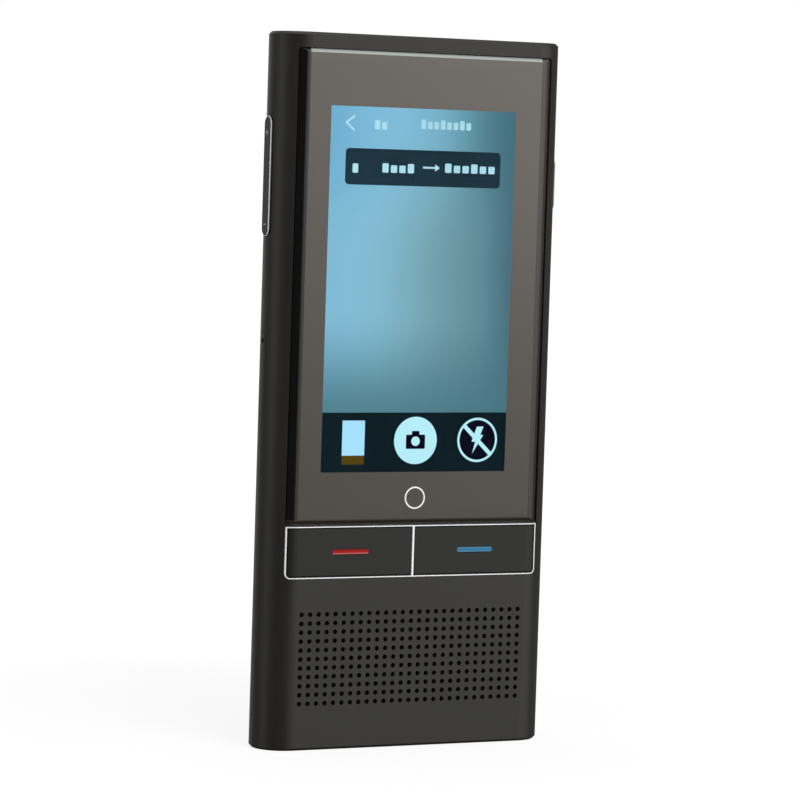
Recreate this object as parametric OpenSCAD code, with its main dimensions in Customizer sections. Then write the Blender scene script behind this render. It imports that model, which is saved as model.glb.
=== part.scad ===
// Handheld translator: a slim rounded-side body that stands on its flat lower end.
// X runs to the viewer's right, Y to the back, Z up along the body.
// The origin is at the middle of the lower end. All sizes are in millimetres.

/* [Body] */
// Width over the rounded sides
body_w = 59.5; // [58.5:0.1:62]
// Depth from front to back
body_d = 11.7; // [11.5:0.1:12.5]
// Height from the lower end to the upper end
body_h = 134.2; // [133:0.1:140]
// Wall of the front and of the rounded sides
wall = 1.2; // [1.0:0.05:1.3]
// Wall of the flat upper and lower ends
end_wall = 1.5; // [1.2:0.1:1.8]
// Chamfer round the two ends
end_chamfer = 0.5; // [0.3:0.05:0.7]
// Distance from the middle of the depth back to the rear cover's edge
seam_y = 3.2; // [2.9:0.05:3.5]
// Seam between the front housing and the rear cover
seam_gap = 0.12; // [0.08:0.01:0.2]
// Thickness of the tongue inside the seam
tongue_t = 0.6; // [0.5:0.05:0.8]
// Clearance of the tongue inside the front housing
tongue_fit = 0.08; // [0.05:0.01:0.12]
// Height of the tongue's root on the rear cover
tongue_root = 0.8; // [0.6:0.1:1.0]
// How far the tongue reaches into the front housing
tongue_depth = 1.0; // [0.6:0.1:1.2]

/* [Front opening] */
// Body left beside the opening on each side
opening_side_margin = 3.35; // [3.2:0.05:3.6]
// Height of the opening's lower edge above the base
opening_bottom = 32.3; // [31.8:0.1:32.8]
// Body left above the opening
opening_top_margin = 2.9; // [2.6:0.1:3.2]
// Corner radius at the opening's lower corners
opening_low_r = 1.1; // [0.9:0.05:1.3]
// Corner radius at the opening's upper corners
opening_top_r = 0.5; // [0.3:0.05:0.7]
// Width of the fine chamfer along the opening's side edges
lip_chamfer = 0.2; // [0.15:0.01:0.25]
// Clearance round the glass and the key frame
trim_gap = 0.08; // [0.04:0.01:0.12]

/* [Glass and display] */
// Thickness of the cover glass
glass_t = 1.1; // [0.9:0.05:1.2]
// Width of the curved edge along each side of the glass
glass_side_run = 2.2; // [1.8:0.1:2.5]
// Drop of the curved edge along each side of the glass
glass_side_drop = 0.95; // [0.6:0.05:1.0]
// Width of the curved edge at the top of the glass
glass_top_run = 0.85; // [0.6:0.05:1.1]
// Width of the curved edge at the bottom of the glass
glass_bottom_run = 1.15; // [0.9:0.05:1.4]
// Drop of the curved edge at the top and bottom of the glass
glass_end_drop = 0.45; // [0.3:0.05:0.6]
// Gap between the glass and the key frame
glass_key_gap = 0.12; // [0.08:0.01:0.2]
// Tape that bonds the glass to the middle frame
glass_tape_t = 0.1; // [0.05:0.01:0.15]
// Thickness of the touch sensor sheet
touch_t = 0.25; // [0.2:0.01:0.3]
// Opening left beside the lit part of the display on each side
display_side_margin = 7.1; // [6.8:0.1:7.4]
// Opening left above the lit part of the display
display_top_margin = 10.3; // [10:0.1:10.6]
// Opening left below the lit part of the display, with the keys
display_low_margin = 20.1; // [19.9:0.1:20.5]
// Border of the display panel beside and above the lit part
panel_border = 1.6; // [1.4:0.05:1.8]
// Border of the display panel below the lit part
panel_foot = 2.8; // [2.5:0.1:3.0]
// Thickness of the display panel
panel_t = 0.9; // [0.7:0.05:1.0]
// Thickness of the backlight
backlight_t = 0.9; // [0.7:0.05:1.0]
// Sheet metal of the display tray
tray_sheet = 0.2; // [0.15:0.01:0.25]
// Clearance round the display module in its pocket
pocket_gap = 0.2; // [0.15:0.05:0.3]
// Drop from the lit part's lower edge to the middle of the home ring
ring_drop = 5.0; // [4.6:0.1:5.2]
// Diameter of the home ring at the middle of its line
ring_d = 3.9; // [3.5:0.1:4.3]
// Width of the home ring's line
ring_line = 0.35; // [0.25:0.05:0.45]
// Depth of the home ring's inlay
ring_inlay = 0.1; // [0.06:0.01:0.15]

/* [Talk keys] */
// Height of the key frame from edge to edge
key_frame_h = 10.0; // [9.8:0.1:10.2]
// Width of the key frame's bright line
key_line = 0.42; // [0.35:0.01:0.5]
// Gap between a talk key and its frame
key_gap = 0.12; // [0.08:0.01:0.16]
// How far the talk keys sit below the frame
key_sink = 0.06; // [0.0:0.01:0.12]
// Thickness of a talk key cap
key_cap_t = 1.1; // [1.0:0.05:1.2]
// Thickness of the flange that holds a talk key behind the frame
key_flange_t = 0.4; // [0.3:0.05:0.5]
// How far the flange reaches past the cap
key_flange_lap = 0.35; // [0.25:0.05:0.45]
// Travel of a talk key
key_travel = 0.3; // [0.2:0.05:0.35]
// Running clearance between moving pieces and what is behind them
run_gap = 0.05; // [0.03:0.01:0.08]
// Length of the coloured light bar on a talk key
bar_w = 7.5; // [6.5:0.1:8.5]
// Height of the coloured light bar on a talk key
bar_h = 1.2; // [1.0:0.05:1.4]
// Depth of the light bar's inlay
bar_t = 0.5; // [0.4:0.05:0.6]
// Corner radius of the light bar
bar_r = 0.55; // [0.4:0.05:0.55]

/* [Speaker grille] */
// Number of hole columns
grille_cols = 27; // [25:2:27]
// Number of hole rows
grille_rows = 11; // [9:1:11]
// Distance from the body's sides in to the outer columns
grille_side_margin = 7.0; // [6.8:0.1:7.4]
// Height of the lowest row above the base
grille_low = 8.85; // [8.6:0.05:9.2]
// Drop from the opening to the highest row
grille_top_drop = 6.65; // [6.4:0.05:6.9]
// Diameter of a grille hole
grille_hole_d = 0.9; // [0.8:0.05:1.0]

/* [Side keys] */
// Length of the volume key
volume_len = 22.4; // [21.5:0.1:23]
// Drop from the upper end to the middle of the volume key
volume_drop = 26.9; // [26.2:0.1:27.7]
// Length of the power key
power_len = 10.4; // [9.5:0.1:11]
// Drop from the upper end to the middle of the power key
power_drop = 26.9; // [26.2:0.1:28.2]
// Width of the side keys over their bright rims
side_key_w = 2.9; // [2.7:0.05:3.1]
// Width of the bright rim round a side key
side_rim_w = 0.45; // [0.35:0.05:0.55]
// How far the side keys stand out of the body
side_key_proud = 0.35; // [0.3:0.05:0.45]
// Chamfer on a side key's bright rim
side_key_chamfer = 0.25; // [0.2:0.01:0.28]
// Gap round a side key
side_key_gap = 0.12; // [0.1:0.01:0.15]
// Thickness of the flange behind a side key
side_flange_t = 0.5; // [0.4:0.05:0.6]
// How far that flange reaches past the key
side_flange_lap = 0.4; // [0.3:0.05:0.5]
// Room for the rocking volume key behind the wall
rocker_gap = 0.35; // [0.3:0.01:0.4]
// Angle that the volume key rocks to each side
rock_angle = 1.0; // [0.8:0.1:1.0]
// Travel of the power key
power_travel = 0.25; // [0.15:0.05:0.25]
// Distance from the volume key's middle to each of its switches
volume_switch_pitch = 7.5; // [7:0.1:8]

/* [Card tray] */
// Length of the tray's outer face
sim_face_len = 15.5; // [15:0.1:16]
// Width of the tray's outer face
sim_face_w = 2.2; // [2.0:0.05:2.4]
// Height of the middle of the tray above the base
sim_z = 70.4; // [70:0.1:70.8]
// Distance from the tray's upper end down to the eject hole
sim_pin_inset = 1.5; // [1.4:0.05:1.7]
// Diameter of the eject hole
sim_pin_d = 0.9; // [0.8:0.05:1.0]
// Reach of the tray into the body
sim_depth = 13.0; // [12.6:0.1:13.6]
// Thickness of the tray's blade
sim_blade_t = 1.2; // [1.0:0.05:1.3]
// Sheet metal of the card socket
socket_sheet = 0.2; // [0.15:0.01:0.25]

/* [Frames and boards] */
// Thickness of the middle frame's plate
plate_t = 0.9; // [0.8:0.05:1.0]
// How far the middle frame reaches below the opening
plate_reach = 4.7; // [4.5:0.1:4.8]
// Thickness of the circuit boards
board_t = 0.8; // [0.6:0.05:0.9]
// Gap between the main board and the brackets of the side keys
board_gap = 0.12; // [0.08:0.01:0.2]
// Body left above the main board
board_top_margin = 3.2; // [3.0:0.1:3.7]
// Height of the main board
board_h = 34.0; // [33.5:0.1:34.5]
// Width of the board's strip beside the battery
strip_w = 10.6; // [10.2:0.1:10.8]
// How far that strip reaches below the card tray
strip_tail = 3.45; // [3.3:0.05:4]
// Diameter of the small screws
screw_d = 1.4; // [1.2:0.1:1.6]
// Diameter of the screw heads
screw_head_d = 2.4; // [2.2:0.1:2.6]
// Thickness of the screw heads
screw_head_t = 0.5; // [0.4:0.05:0.6]
// Outer diameter of the screw bosses
boss_d = 3.2; // [3.0:0.1:3.4]

/* [Battery] */
// Gap between the battery and the board beside it
battery_side_gap = 1.6; // [1.2:0.1:2.5]
// Gap between the battery and the board above it
battery_top_gap = 1.5; // [1:0.1:3]
// How far the battery reaches past the main board's other side
battery_reach = 1.2; // [0.5:0.1:1.2]
// Thickness of the battery
battery_t = 4.2; // [4.0:0.1:4.4]
// Height of the battery's lower edge above the base
battery_bottom = 44.5; // [44:0.1:45]
// Tape behind the battery
battery_tape_t = 0.1; // [0.05:0.01:0.15]

/* [Loudspeaker] */
// Distance from the body's sides in to the loudspeaker
speaker_side_margin = 11.75; // [11:0.25:13]
// How far the loudspeaker reaches above and below the outer rows
speaker_lap = 0.4; // [0.3:0.05:0.6]
// Depth of the loudspeaker
speaker_t = 3.6; // [3.2:0.1:3.8]
// Corner radius of the loudspeaker
speaker_r = 3.0; // [2.5:0.1:3.5]
// Thickness of the mesh behind the grille
mesh_t = 0.12; // [0.1:0.01:0.2]
// Thickness of the foam gasket
gasket_t = 0.4; // [0.3:0.05:0.5]
// Gap between the sound chamber and the board behind it
chamber_gap = 0.53; // [0.3:0.01:0.7]

/* [Charging port] */
// Length of the port's shell
port_len = 6.0; // [5.5:0.1:6.2]
// Sheet metal of the port's shell
port_sheet = 0.3; // [0.25:0.01:0.35]
// Clearance round the port in the lower end
port_gap = 0.1; // [0.08:0.01:0.15]
// Diameter of the two microphone holes
mic_hole_d = 1.0; // [0.8:0.1:1.2]
// Distance from the middle to the lower microphone
mic_x = 13.0; // [12:0.1:14]

/* [Rear camera] */
// Distance from the body's side in to the camera
camera_inset = 12.25; // [11.75:0.25:12.75]
// Depth of the camera below the upper end
camera_drop = 14.0; // [13.5:0.1:14.5]
// Outer diameter of the camera's ring
camera_ring_d = 9.6; // [9.2:0.1:10]
// Diameter of the camera's window
camera_window_d = 7.6; // [7.2:0.1:7.8]
// Distance from the camera in to the flash
flash_offset = 8.4; // [8:0.1:9]
// Diameter of the flash window
flash_d = 3.4; // [3:0.1:3.8]

/* [Hidden] */
$fn = 96;
eps = 0.01;
big = 200;

// Standard sizes: the smallest SIM card, and the shell of a USB-C socket.
sim_card_len = 12.3;
sim_card_w = 8.8;
sim_card_t = 0.67;
port_w = 8.94;
port_h = 3.2;

// Section of the body: a flat front and back with half-round sides.
side_r = body_d / 2;
flat_x = body_w / 2 - side_r;
front_y = -body_d / 2;
back_y = body_d / 2;
inner_r = side_r - wall;
inner_front = front_y + wall;
inner_back = back_y - wall;
inner_x = body_w / 2 - wall;
inner_top = body_h - end_wall;

// Front opening.
opening_w = body_w - 2 * opening_side_margin;
opening_x = opening_w / 2;
opening_top = body_h - opening_top_margin;
// Depth of the rounded side's surface at the opening's side edges.
opening_edge_y = -sqrt(side_r * side_r - pow(opening_x - flat_x, 2));
// The opening's cut ends just past the rounded wall's inner surface.
opening_cut_y = 0.15 - sqrt(inner_r * inner_r - pow(opening_x - flat_x, 2));
// The chamfer on the side edges stops this far from the corners' arcs.
lip_end = 0.05;

// Glass.
glass_x = opening_x - trim_gap;
glass_bottom = opening_bottom + key_frame_h + glass_key_gap;
glass_top = opening_top - trim_gap;
glass_back = front_y + glass_t;
glass_side_r = (pow(glass_side_run, 2) + pow(glass_side_drop, 2)) / (2 * glass_side_drop);
glass_top_r = (pow(glass_top_run, 2) + pow(glass_end_drop, 2)) / (2 * glass_end_drop);
glass_low_r = (pow(glass_bottom_run, 2) + pow(glass_end_drop, 2)) / (2 * glass_end_drop);

// Display stack behind the glass.
display_w = opening_w - 2 * display_side_margin;
display_bottom = opening_bottom + display_low_margin;
display_h = opening_top - display_top_margin - display_bottom;
ring_z = display_bottom - ring_drop;
panel_x = display_w / 2 + panel_border;
panel_bottom = display_bottom - panel_foot;
panel_top = display_bottom + display_h + panel_border;
touch_back = glass_back + touch_t;
panel_back = touch_back + panel_t;
backlight_back = panel_back + backlight_t;
display_back = backlight_back + tray_sheet;
pocket_back = display_back + pocket_gap;
plate_front = pocket_back;
plate_back = plate_front + plate_t;

// Middle frame: its raised rim carries the glass.
rim_front = glass_back + glass_tape_t;
rim_x = glass_x - 0.2;
rim_bottom = glass_bottom + 0.2;
rim_top = glass_top - 0.2;
plate_bottom = opening_bottom - plate_reach;
plate_top = inner_top - 0.3;
plate_gap = 0.25;
flex_x = 6.0;
flex_t = 0.2;
flex_clear = 0.4;
flex_z1 = panel_top - 1;
tape_x = panel_x + 0.9;

// Talk keys.
key_front = front_y + key_sink;
key_back = key_front + key_cap_t;
key_flange_back = key_back + key_flange_t;
key_low = opening_bottom + trim_gap + key_line + key_gap;
key_high = opening_bottom + key_frame_h - key_line - key_gap;
key_inner_x = key_line / 2 + key_gap;
key_outer_x = opening_x - trim_gap - key_line - key_gap;
key_mid_x = (key_inner_x + key_outer_x) / 2;
key_mid_z = (key_low + key_high) / 2;
key_board_back = plate_front;
key_board_front = key_board_back - 0.5;
talk_switch_w = 4.2;
talk_switch_t = 0.55;
talk_button_d = 2.0;
talk_switch_front = key_board_front - talk_switch_t;
key_post_d = 1.8;
talk_button_front = key_flange_back + key_travel + run_gap;

// Side keys.
volume_z = body_h - volume_drop;
power_z = body_h - power_drop;
side_face = body_w / 2;
side_out = side_face + side_key_proud;
side_flange_y = side_key_w / 2 + side_flange_lap;
// The flange clears the wall's rounded inner surface at its own edges.
side_key_root = flat_x + sqrt(pow(inner_r, 2) - pow(side_flange_y, 2)) - rocker_gap;
side_flange_in = side_key_root - side_flange_t;
side_switch_t = 0.5;
side_button_t = 0.3;
power_nub_t = 0.3;
side_button_out = side_flange_in - power_nub_t - power_travel - run_gap;
// The volume key's nubs are as long as its rocking angle lets them be.
volume_rock = volume_switch_pitch * sin(rock_angle);
volume_nub_t = side_flange_in - side_button_out - volume_rock - run_gap;
side_switch_out = side_button_out - side_button_t;
side_switch_in = side_switch_out - side_switch_t;
side_flex_t = 0.2;
side_flex_in = side_switch_in - side_flex_t;
side_bracket_t = 0.6;
side_flex_w = 3.4;
side_nub_d = 1.4;
side_switch_w = 3.0;
side_switch_h = 4.0;
side_button_d = 1.5;

// Card tray, socket and main board.
sim_blade_x = side_face - sim_depth;
sim_blade_h = sim_face_len - 1.6;
sim_socket_t = sim_blade_t + 2 * run_gap + 2 * socket_sheet;
board_front = sim_socket_t / 2;
board_back = board_front + board_t;
board_x = side_flex_in - side_bracket_t - board_gap;
board_top = body_h - board_top_margin;
board_bottom = board_top - board_h;
strip_bottom = sim_z - sim_face_len / 2 - strip_tail;
battery_x = strip_w + battery_side_gap - board_x;
battery_w = board_x + battery_reach - battery_x;
battery_h = board_bottom - battery_top_gap - battery_bottom;
battery_front = plate_back + battery_tape_t;
battery_back = battery_front + battery_t;
shield_t = 1.3;
processor_in = 11.0;
processor_rise = 3.0;
processor_w = 0.38 * 2 * board_x;
processor_h = board_h / 2;
radio_in = 2.0;
radio_rise = 2.5;
radio_w = 0.24 * 2 * board_x;
radio_h = board_h / 2 - 4.5;
plate_clear = 0.2;
plug_inset = 0.5;
plug_h = 2.5;
plug_t = 1.0;
display_plug_h = 3.0;
battery_plug_w = 4.5;
battery_plug_t = 0.9;
// The ribbon between the boards runs straight up from the lower microphone.
link_w = 7.0;
link_x0 = mic_x - link_w / 2;
link_x1 = mic_x + link_w / 2;
link_t = 0.15;

// Loudspeaker stack.
grille_w = body_w - 2 * grille_side_margin;
grille_h = opening_bottom - grille_top_drop - grille_low;
grille_z = grille_low + grille_h / 2;
grille_pitch_x = grille_w / (grille_cols - 1);
grille_pitch_z = grille_h / (grille_rows - 1);
mesh_lap = 0.85;
mesh_back = inner_front + mesh_t;
gasket_back = mesh_back + gasket_t;
speaker_back = gasket_back + speaker_t;
chamber_back = port_h / 2 - chamber_gap;
speaker_w = body_w - 2 * speaker_side_margin;
speaker_h = grille_h + 2 * speaker_lap;
speaker_low = grille_z - speaker_h / 2;
speaker_wall = 1.2;
cone_sink = 0.6;
cone_t = 0.25;
cup_d = 0.54 * speaker_h;
cup_x = speaker_w / 4.5;
cup_wall = 0.6;
cup_floor = 0.3;
chamber_inset = 0.4;
chamber_wall = 1.0;
chamber_floor = 0.5;

// Charging port and its board.
port_front_z = 0.3;
port_board_front = port_h / 2;
port_board_back = port_board_front + board_t;
port_board_top = grille_z + speaker_h / 2 + 0.6;
port_board_x = board_x - 1.0;
// The board stands clear above the rear cover's tongue.
port_board_low = end_wall + tongue_fit + tongue_t + 0.2;

// Microphones and vibration motor.
mic_w = 2.8;
mic_h = 3.3;
mic_t = 1.0;
motor_d = 8.0;
motor_t = 2.7;
motor_x = 9.0 - board_x;
motor_z = opening_bottom + 3.7;

// Rear camera.
camera_x = body_w / 2 - camera_inset;
camera_z = body_h - camera_drop;
flash_x = camera_x - flash_offset;
camera_seat = 0.6;
camera_body_w = 7.0;
camera_neck_d = 6.0;
camera_gap = 0.1;
flash_half = 1.1;

// Screws: two hold the middle frame, five hold the boards.
frame_screw_x = opening_x - 3.0;
frame_screw_z = opening_bottom - 2.7;
board_screw_spots = [
    [7.0 - board_x, board_top - 2.8],
    [board_x - 2.6, board_bottom + 3.0],
    [strip_w - board_x - 2.0, strip_bottom + 2.1]
];
port_screw_x = board_x - 3.5;
port_screw_z = 6.0;
screw_fit = 0.02;

// Antennas: films on the rear cover and on the lower board.
upper_antenna_w = 9.0;
upper_antenna_x = camera_x - 13.5;
lower_antenna_w = port_screw_x - 8.5;
lower_antenna_x = 2.5 - port_screw_x;

housing_tint = [0.21, 0.21, 0.215];
key_tint = [0.19, 0.19, 0.195];
silver = [0.86, 0.86, 0.87];
steel = [0.62, 0.63, 0.65];
glass_tint = [0.36, 0.355, 0.35];
board_tint = [0.08, 0.26, 0.16];
black = [0.06, 0.06, 0.065];
flex_tint = [0.74, 0.45, 0.12];
gold = [0.85, 0.66, 0.25];

// ---------- shared shapes ----------

// A box from one corner to the other.
module box(low, high) {
    translate(low) cube(high - low);
}

// A flat-fronted bar with half-round sides, chamfered at both ends of its height.
module round_sided(half_w, r, z0, z1, c = 0) {
    straight = half_w - r;
    rotate([90, 0, 90])
        translate([0, 0, -straight])
            linear_extrude(2 * straight)
                polygon(c > 0 ? [
                    [-r, z0 + c], [-r + c, z0], [r - c, z0], [r, z0 + c],
                    [r, z1 - c], [r - c, z1], [-r + c, z1], [-r, z1 - c]
                ] : [[-r, z0], [r, z0], [r, z1], [-r, z1]]);
    for (s = [-1, 1])
        translate([s * straight, 0, 0])
            rotate([0, 0, -s * 90])
                rotate_extrude(angle = 180)
                    polygon(c > 0 ? [
                        [0, z0], [r - c, z0], [r, z0 + c], [r, z1 - c], [r - c, z1], [0, z1]
                    ] : [[0, z0], [r, z0], [r, z1], [0, z1]]);
}

// A flat rectangle in X and Z with its own radius at the lower and upper corners.
module face_outline(x0, x1, z0, z1, r_low, r_high) {
    difference() {
        translate([x0, z0]) square([x1 - x0, z1 - z0]);
        for (s = [0, 1]) {
            low_x = s == 0 ? x0 : x1 - r_low;
            high_x = s == 0 ? x0 : x1 - r_high;
            if (r_low > 0)
                difference() {
                    translate([low_x, z0]) square(r_low);
                    translate([s == 0 ? x0 + r_low : x1 - r_low, z0 + r_low]) circle(r_low, $fn = 48);
                }
            if (r_high > 0)
                difference() {
                    translate([high_x, z1 - r_high]) square(r_high);
                    translate([s == 0 ? x0 + r_high : x1 - r_high, z1 - r_high])
                        circle(r_high, $fn = 48);
                }
        }
    }
}

// Extrudes an outline drawn in X and Z from the depth y0 to y1.
module from_front(y0, y1) {
    translate([0, y1, 0]) rotate([90, 0, 0]) linear_extrude(y1 - y0) children();
}

// A cylinder along Y from y0 to y1.
module rod_y(d, x, z, y0, y1) {
    translate([x, y1, z]) rotate([90, 0, 0]) cylinder(d = d, h = y1 - y0, $fn = 48);
}

// A bar along Z with half-round ends, drawn in Y and Z, from x0 out to x1.
module pill_x(len, w, z, x0, x1) {
    box([x0, -w / 2, z - len / 2 + w / 2], [x1, w / 2, z + len / 2 - w / 2]);
    for (s = [-1, 1])
        translate([x0, 0, z + s * (len / 2 - w / 2)])
            rotate([0, 90, 0]) cylinder(d = w, h = x1 - x0, $fn = 64);
}

// The same bar with its outer edge chamfered.
module chamfered_pill_x(len, w, z, x0, x1, c) {
    straight = len / 2 - w / 2;
    translate([0, 0, z - straight])
        linear_extrude(2 * straight)
            polygon([[x0, -w / 2], [x1 - c, -w / 2], [x1, -w / 2 + c],
                     [x1, w / 2 - c], [x1 - c, w / 2], [x0, w / 2]]);
    for (s = [-1, 1])
        translate([x0, 0, z + s * straight])
            rotate([0, 90, 0])
                rotate_extrude($fn = 64)
                    polygon([[0, 0], [w / 2, 0], [w / 2, x1 - x0 - c],
                             [w / 2 - c, x1 - x0], [0, x1 - x0]]);
}

// A slab in X and Z with four round corners, from y0 back to y1.
module soft_slab(x0, x1, z0, z1, r, y0, y1) {
    from_front(y0, y1) face_outline(x0, x1, z0, z1, r, r);
}

// Mirrors what is drawn for the viewer's right onto the left.
module on_side(s) {
    mirror([s < 0 ? 1 : 0, 0, 0]) children();
}

// ---------- casing ----------

module opening_shape(gap = 0) {
    face_outline(-opening_x + gap, opening_x - gap, opening_bottom + gap, opening_top - gap,
                 opening_low_r - gap, opening_top_r - gap);
}

module grille_holes() {
    for (i = [0 : grille_cols - 1])
        for (j = [0 : grille_rows - 1])
            translate([(i - (grille_cols - 1) / 2) * grille_pitch_x,
                       grille_z + (j - (grille_rows - 1) / 2) * grille_pitch_z])
                circle(d = grille_hole_d, $fn = 24);
}

// Cuts a fine chamfer of one width along an edge whose two faces meet at an angle.
// The edge runs along Z through the origin, and its tip points to -Y.
module edge_cut(len, angle) {
    translate([-1, -2, 0]) cube([2, 2 + lip_chamfer / 2 / tan(angle / 2), len]);
}

module lip_cuts() {
    // The rounded surface leans by this angle at the opening's side edges.
    lean = asin((opening_x - flat_x) / side_r);
    side_low = opening_bottom + opening_low_r + lip_end;
    side_high = opening_top - opening_top_r - lip_end;
    for (s = [-1, 1])
        on_side(s)
            translate([opening_x, opening_edge_y, side_low])
                rotate([0, 0, lean / 2 - 45])
                    edge_cut(side_high - side_low, 90 + lean);
}

module boss(x, z, y0, y1) {
    difference() {
        rod_y(boss_d, x, z, y0, y1);
        rod_y(screw_d, x, z, y0 + 0.4, y1 + eps);
    }
}

module front_housing() {
    color(housing_tint) {
        difference() {
            round_sided(body_w / 2, side_r, 0, body_h, end_chamfer);
            round_sided(inner_x, inner_r, end_wall, inner_top);
            box([-big, seam_y, -eps], [big, big, big]);
            from_front(front_y - 1, opening_cut_y) opening_shape();
            lip_cuts();
            from_front(front_y - eps, inner_front + eps) grille_holes();
            // Slots for the side keys and the card tray.
            pill_x(volume_len + 2 * side_key_gap, side_key_w + 2 * side_key_gap, volume_z,
                   -side_face - 1, -inner_x + 0.8);
            pill_x(power_len + 2 * side_key_gap, side_key_w + 2 * side_key_gap, power_z,
                   inner_x - 0.8, side_face + 1);
            pill_x(sim_face_len + 2 * trim_gap, sim_face_w + 2 * trim_gap, sim_z,
                   -side_face - 1, -inner_x + 0.8);
            // Port and microphone holes in the flat ends.
            port_outline(port_gap, -eps, end_wall + eps);
            translate([mic_x, 0, -eps]) cylinder(d = mic_hole_d, h = end_wall + 2 * eps, $fn = 32);
            translate([-mic_x, 0, inner_top - eps])
                cylinder(d = mic_hole_d, h = end_wall + 2 * eps, $fn = 32);
        }
        for (s = [-1, 1]) {
            boss(s * frame_screw_x, frame_screw_z, inner_front - eps, plate_front);
            boss(s * port_screw_x, port_screw_z, inner_front - eps, port_board_front);
        }
    }
}

// The port's rounded outline, with a gap round it, from z0 to z1.
module port_outline(gap, z0, z1) {
    w = port_w + 2 * gap;
    h = port_h + 2 * gap;
    translate([0, 0, z0])
        linear_extrude(z1 - z0) {
            square([w - h, h], center = true);
            for (s = [-1, 1]) translate([s * (w - h) / 2, 0]) circle(d = h, $fn = 48);
        }
}

module rear_cover() {
    seam_back = seam_y + seam_gap;
    color(housing_tint)
        difference() {
            union() {
                difference() {
                    round_sided(body_w / 2, side_r, 0, body_h, end_chamfer);
                    round_sided(inner_x, inner_r, end_wall, inner_top);
                    box([-big, -big, -eps], [big, seam_back, big]);
                }
                // The tongue's root is joined to the wall, and its free part has a fit.
                inner_band(-0.1, tongue_fit + tongue_t, seam_back, seam_back + tongue_root);
                inner_band(tongue_fit, tongue_fit + tongue_t, seam_y - tongue_depth,
                           seam_back + tongue_root);
            }
            rod_y(camera_ring_d, camera_x, camera_z, inner_back - 1, back_y + eps);
            rod_y(flash_d, flash_x, camera_z, inner_back - 1, back_y + eps);
        }
}

// A band that follows the inside of the wall, from one inset to the other.
module inner_band(inset0, inset1, y0, y1) {
    intersection() {
        difference() {
            round_sided(inner_x - inset0, inner_r - inset0, end_wall + inset0, inner_top - inset0);
            round_sided(inner_x - inset1, inner_r - inset1, end_wall + inset1, inner_top - inset1);
        }
        box([-big, y0, -big], [big, y1, big]);
    }
}

// A thin seal lies in the seam, just inside the outer skin.
module cover_seal() {
    inset = 0.35;
    color(black)
        intersection() {
            difference() {
                round_sided(body_w / 2 - inset, side_r - inset, inset, body_h - inset);
                round_sided(inner_x, inner_r, end_wall, inner_top);
            }
            box([-big, seam_y, -big], [big, seam_y + seam_gap, big]);
        }
}

// ---------- glass and display ----------

module glass_body() {
    intersection() {
        // Section across the width: flat, with an arc down each side.
        translate([0, 0, glass_bottom])
            linear_extrude(glass_top - glass_bottom)
                intersection() {
                    translate([-glass_x, front_y]) square([2 * glass_x, glass_t]);
                    union() {
                        translate([-glass_x + glass_side_run, front_y])
                            square([2 * (glass_x - glass_side_run), glass_t]);
                        for (s = [-1, 1])
                            translate([s * (glass_x - glass_side_run), front_y + glass_side_r])
                                circle(glass_side_r, $fn = 128);
                    }
                }
        // Outline from the front: the upper corners follow the opening's.
        from_front(front_y - 1, glass_back + 1)
            face_outline(-glass_x, glass_x, glass_bottom, glass_top, 0, opening_top_r - trim_gap);
        // Section along the height: flat, with a shorter arc at the top and bottom.
        rotate([90, 0, 90])
            translate([0, 0, -glass_x])
                linear_extrude(2 * glass_x)
                    intersection() {
                        translate([front_y, glass_bottom]) square([glass_t, glass_top - glass_bottom]);
                        union() {
                            translate([front_y, glass_bottom + glass_bottom_run])
                                square([glass_t, glass_top - glass_bottom
                                        - glass_bottom_run - glass_top_run]);
                            translate([front_y + glass_top_r, glass_top - glass_top_run])
                                circle(glass_top_r, $fn = 96);
                            translate([front_y + glass_low_r, glass_bottom + glass_bottom_run])
                                circle(glass_low_r, $fn = 96);
                        }
                    }
    }
}

module cover_glass() {
    color(glass_tint)
        difference() {
            glass_body();
            ring_body(ring_line + 0.02, front_y - eps, front_y + ring_inlay);
        }
}

module ring_body(line, y0, y1) {
    difference() {
        rod_y(ring_d + line, 0, ring_z, y0, y1);
        rod_y(ring_d - line, 0, ring_z, y0 - eps, y1 + eps);
    }
}

module home_ring() {
    color("white") ring_body(ring_line, front_y + 0.02, front_y + ring_inlay);
}

module glass_tape() {
    color(black)
        difference() {
            box([-rim_x, glass_back, rim_bottom], [rim_x, rim_front, rim_top]);
            box([-tape_x, glass_back - eps, panel_bottom - 0.9],
                [tape_x, rim_front + eps, panel_top + 0.9]);
        }
}

module touch_sensor() {
    color([0.16, 0.17, 0.19])
        box([-panel_x, glass_back, panel_bottom], [panel_x, touch_back, panel_top]);
}

module lcd_panel() {
    color([0.35, 0.62, 0.78])
        box([-panel_x, touch_back, panel_bottom], [panel_x, panel_back, panel_top]);
}

module backlight() {
    color([0.92, 0.93, 0.95])
        box([-panel_x + tray_sheet, panel_back, panel_bottom + tray_sheet],
            [panel_x - tray_sheet, backlight_back, panel_top - tray_sheet]);
}

module display_tray() {
    color(steel)
        difference() {
            box([-panel_x, panel_back, panel_bottom], [panel_x, display_back, panel_top]);
            box([-panel_x + tray_sheet, panel_back - eps, panel_bottom + tray_sheet],
                [panel_x - tray_sheet, backlight_back, panel_top - tray_sheet]);
        }
}

// The display's ribbon leaves the pocket through a slot and folds onto the main board.
module display_flex() {
    bend_z = flex_z1 - 0.8;
    plug_y = board_front - flex_clear;
    color(flex_tint) {
        box([-flex_x, display_back, flex_z1 - 6], [flex_x, pocket_back, flex_z1]);
        box([-flex_x, pocket_back - eps, bend_z - flex_t], [flex_x, plug_y, bend_z]);
        box([-flex_x, plug_y - flex_t, flex_z1 - 8], [flex_x, plug_y, bend_z]);
    }
}

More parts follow.
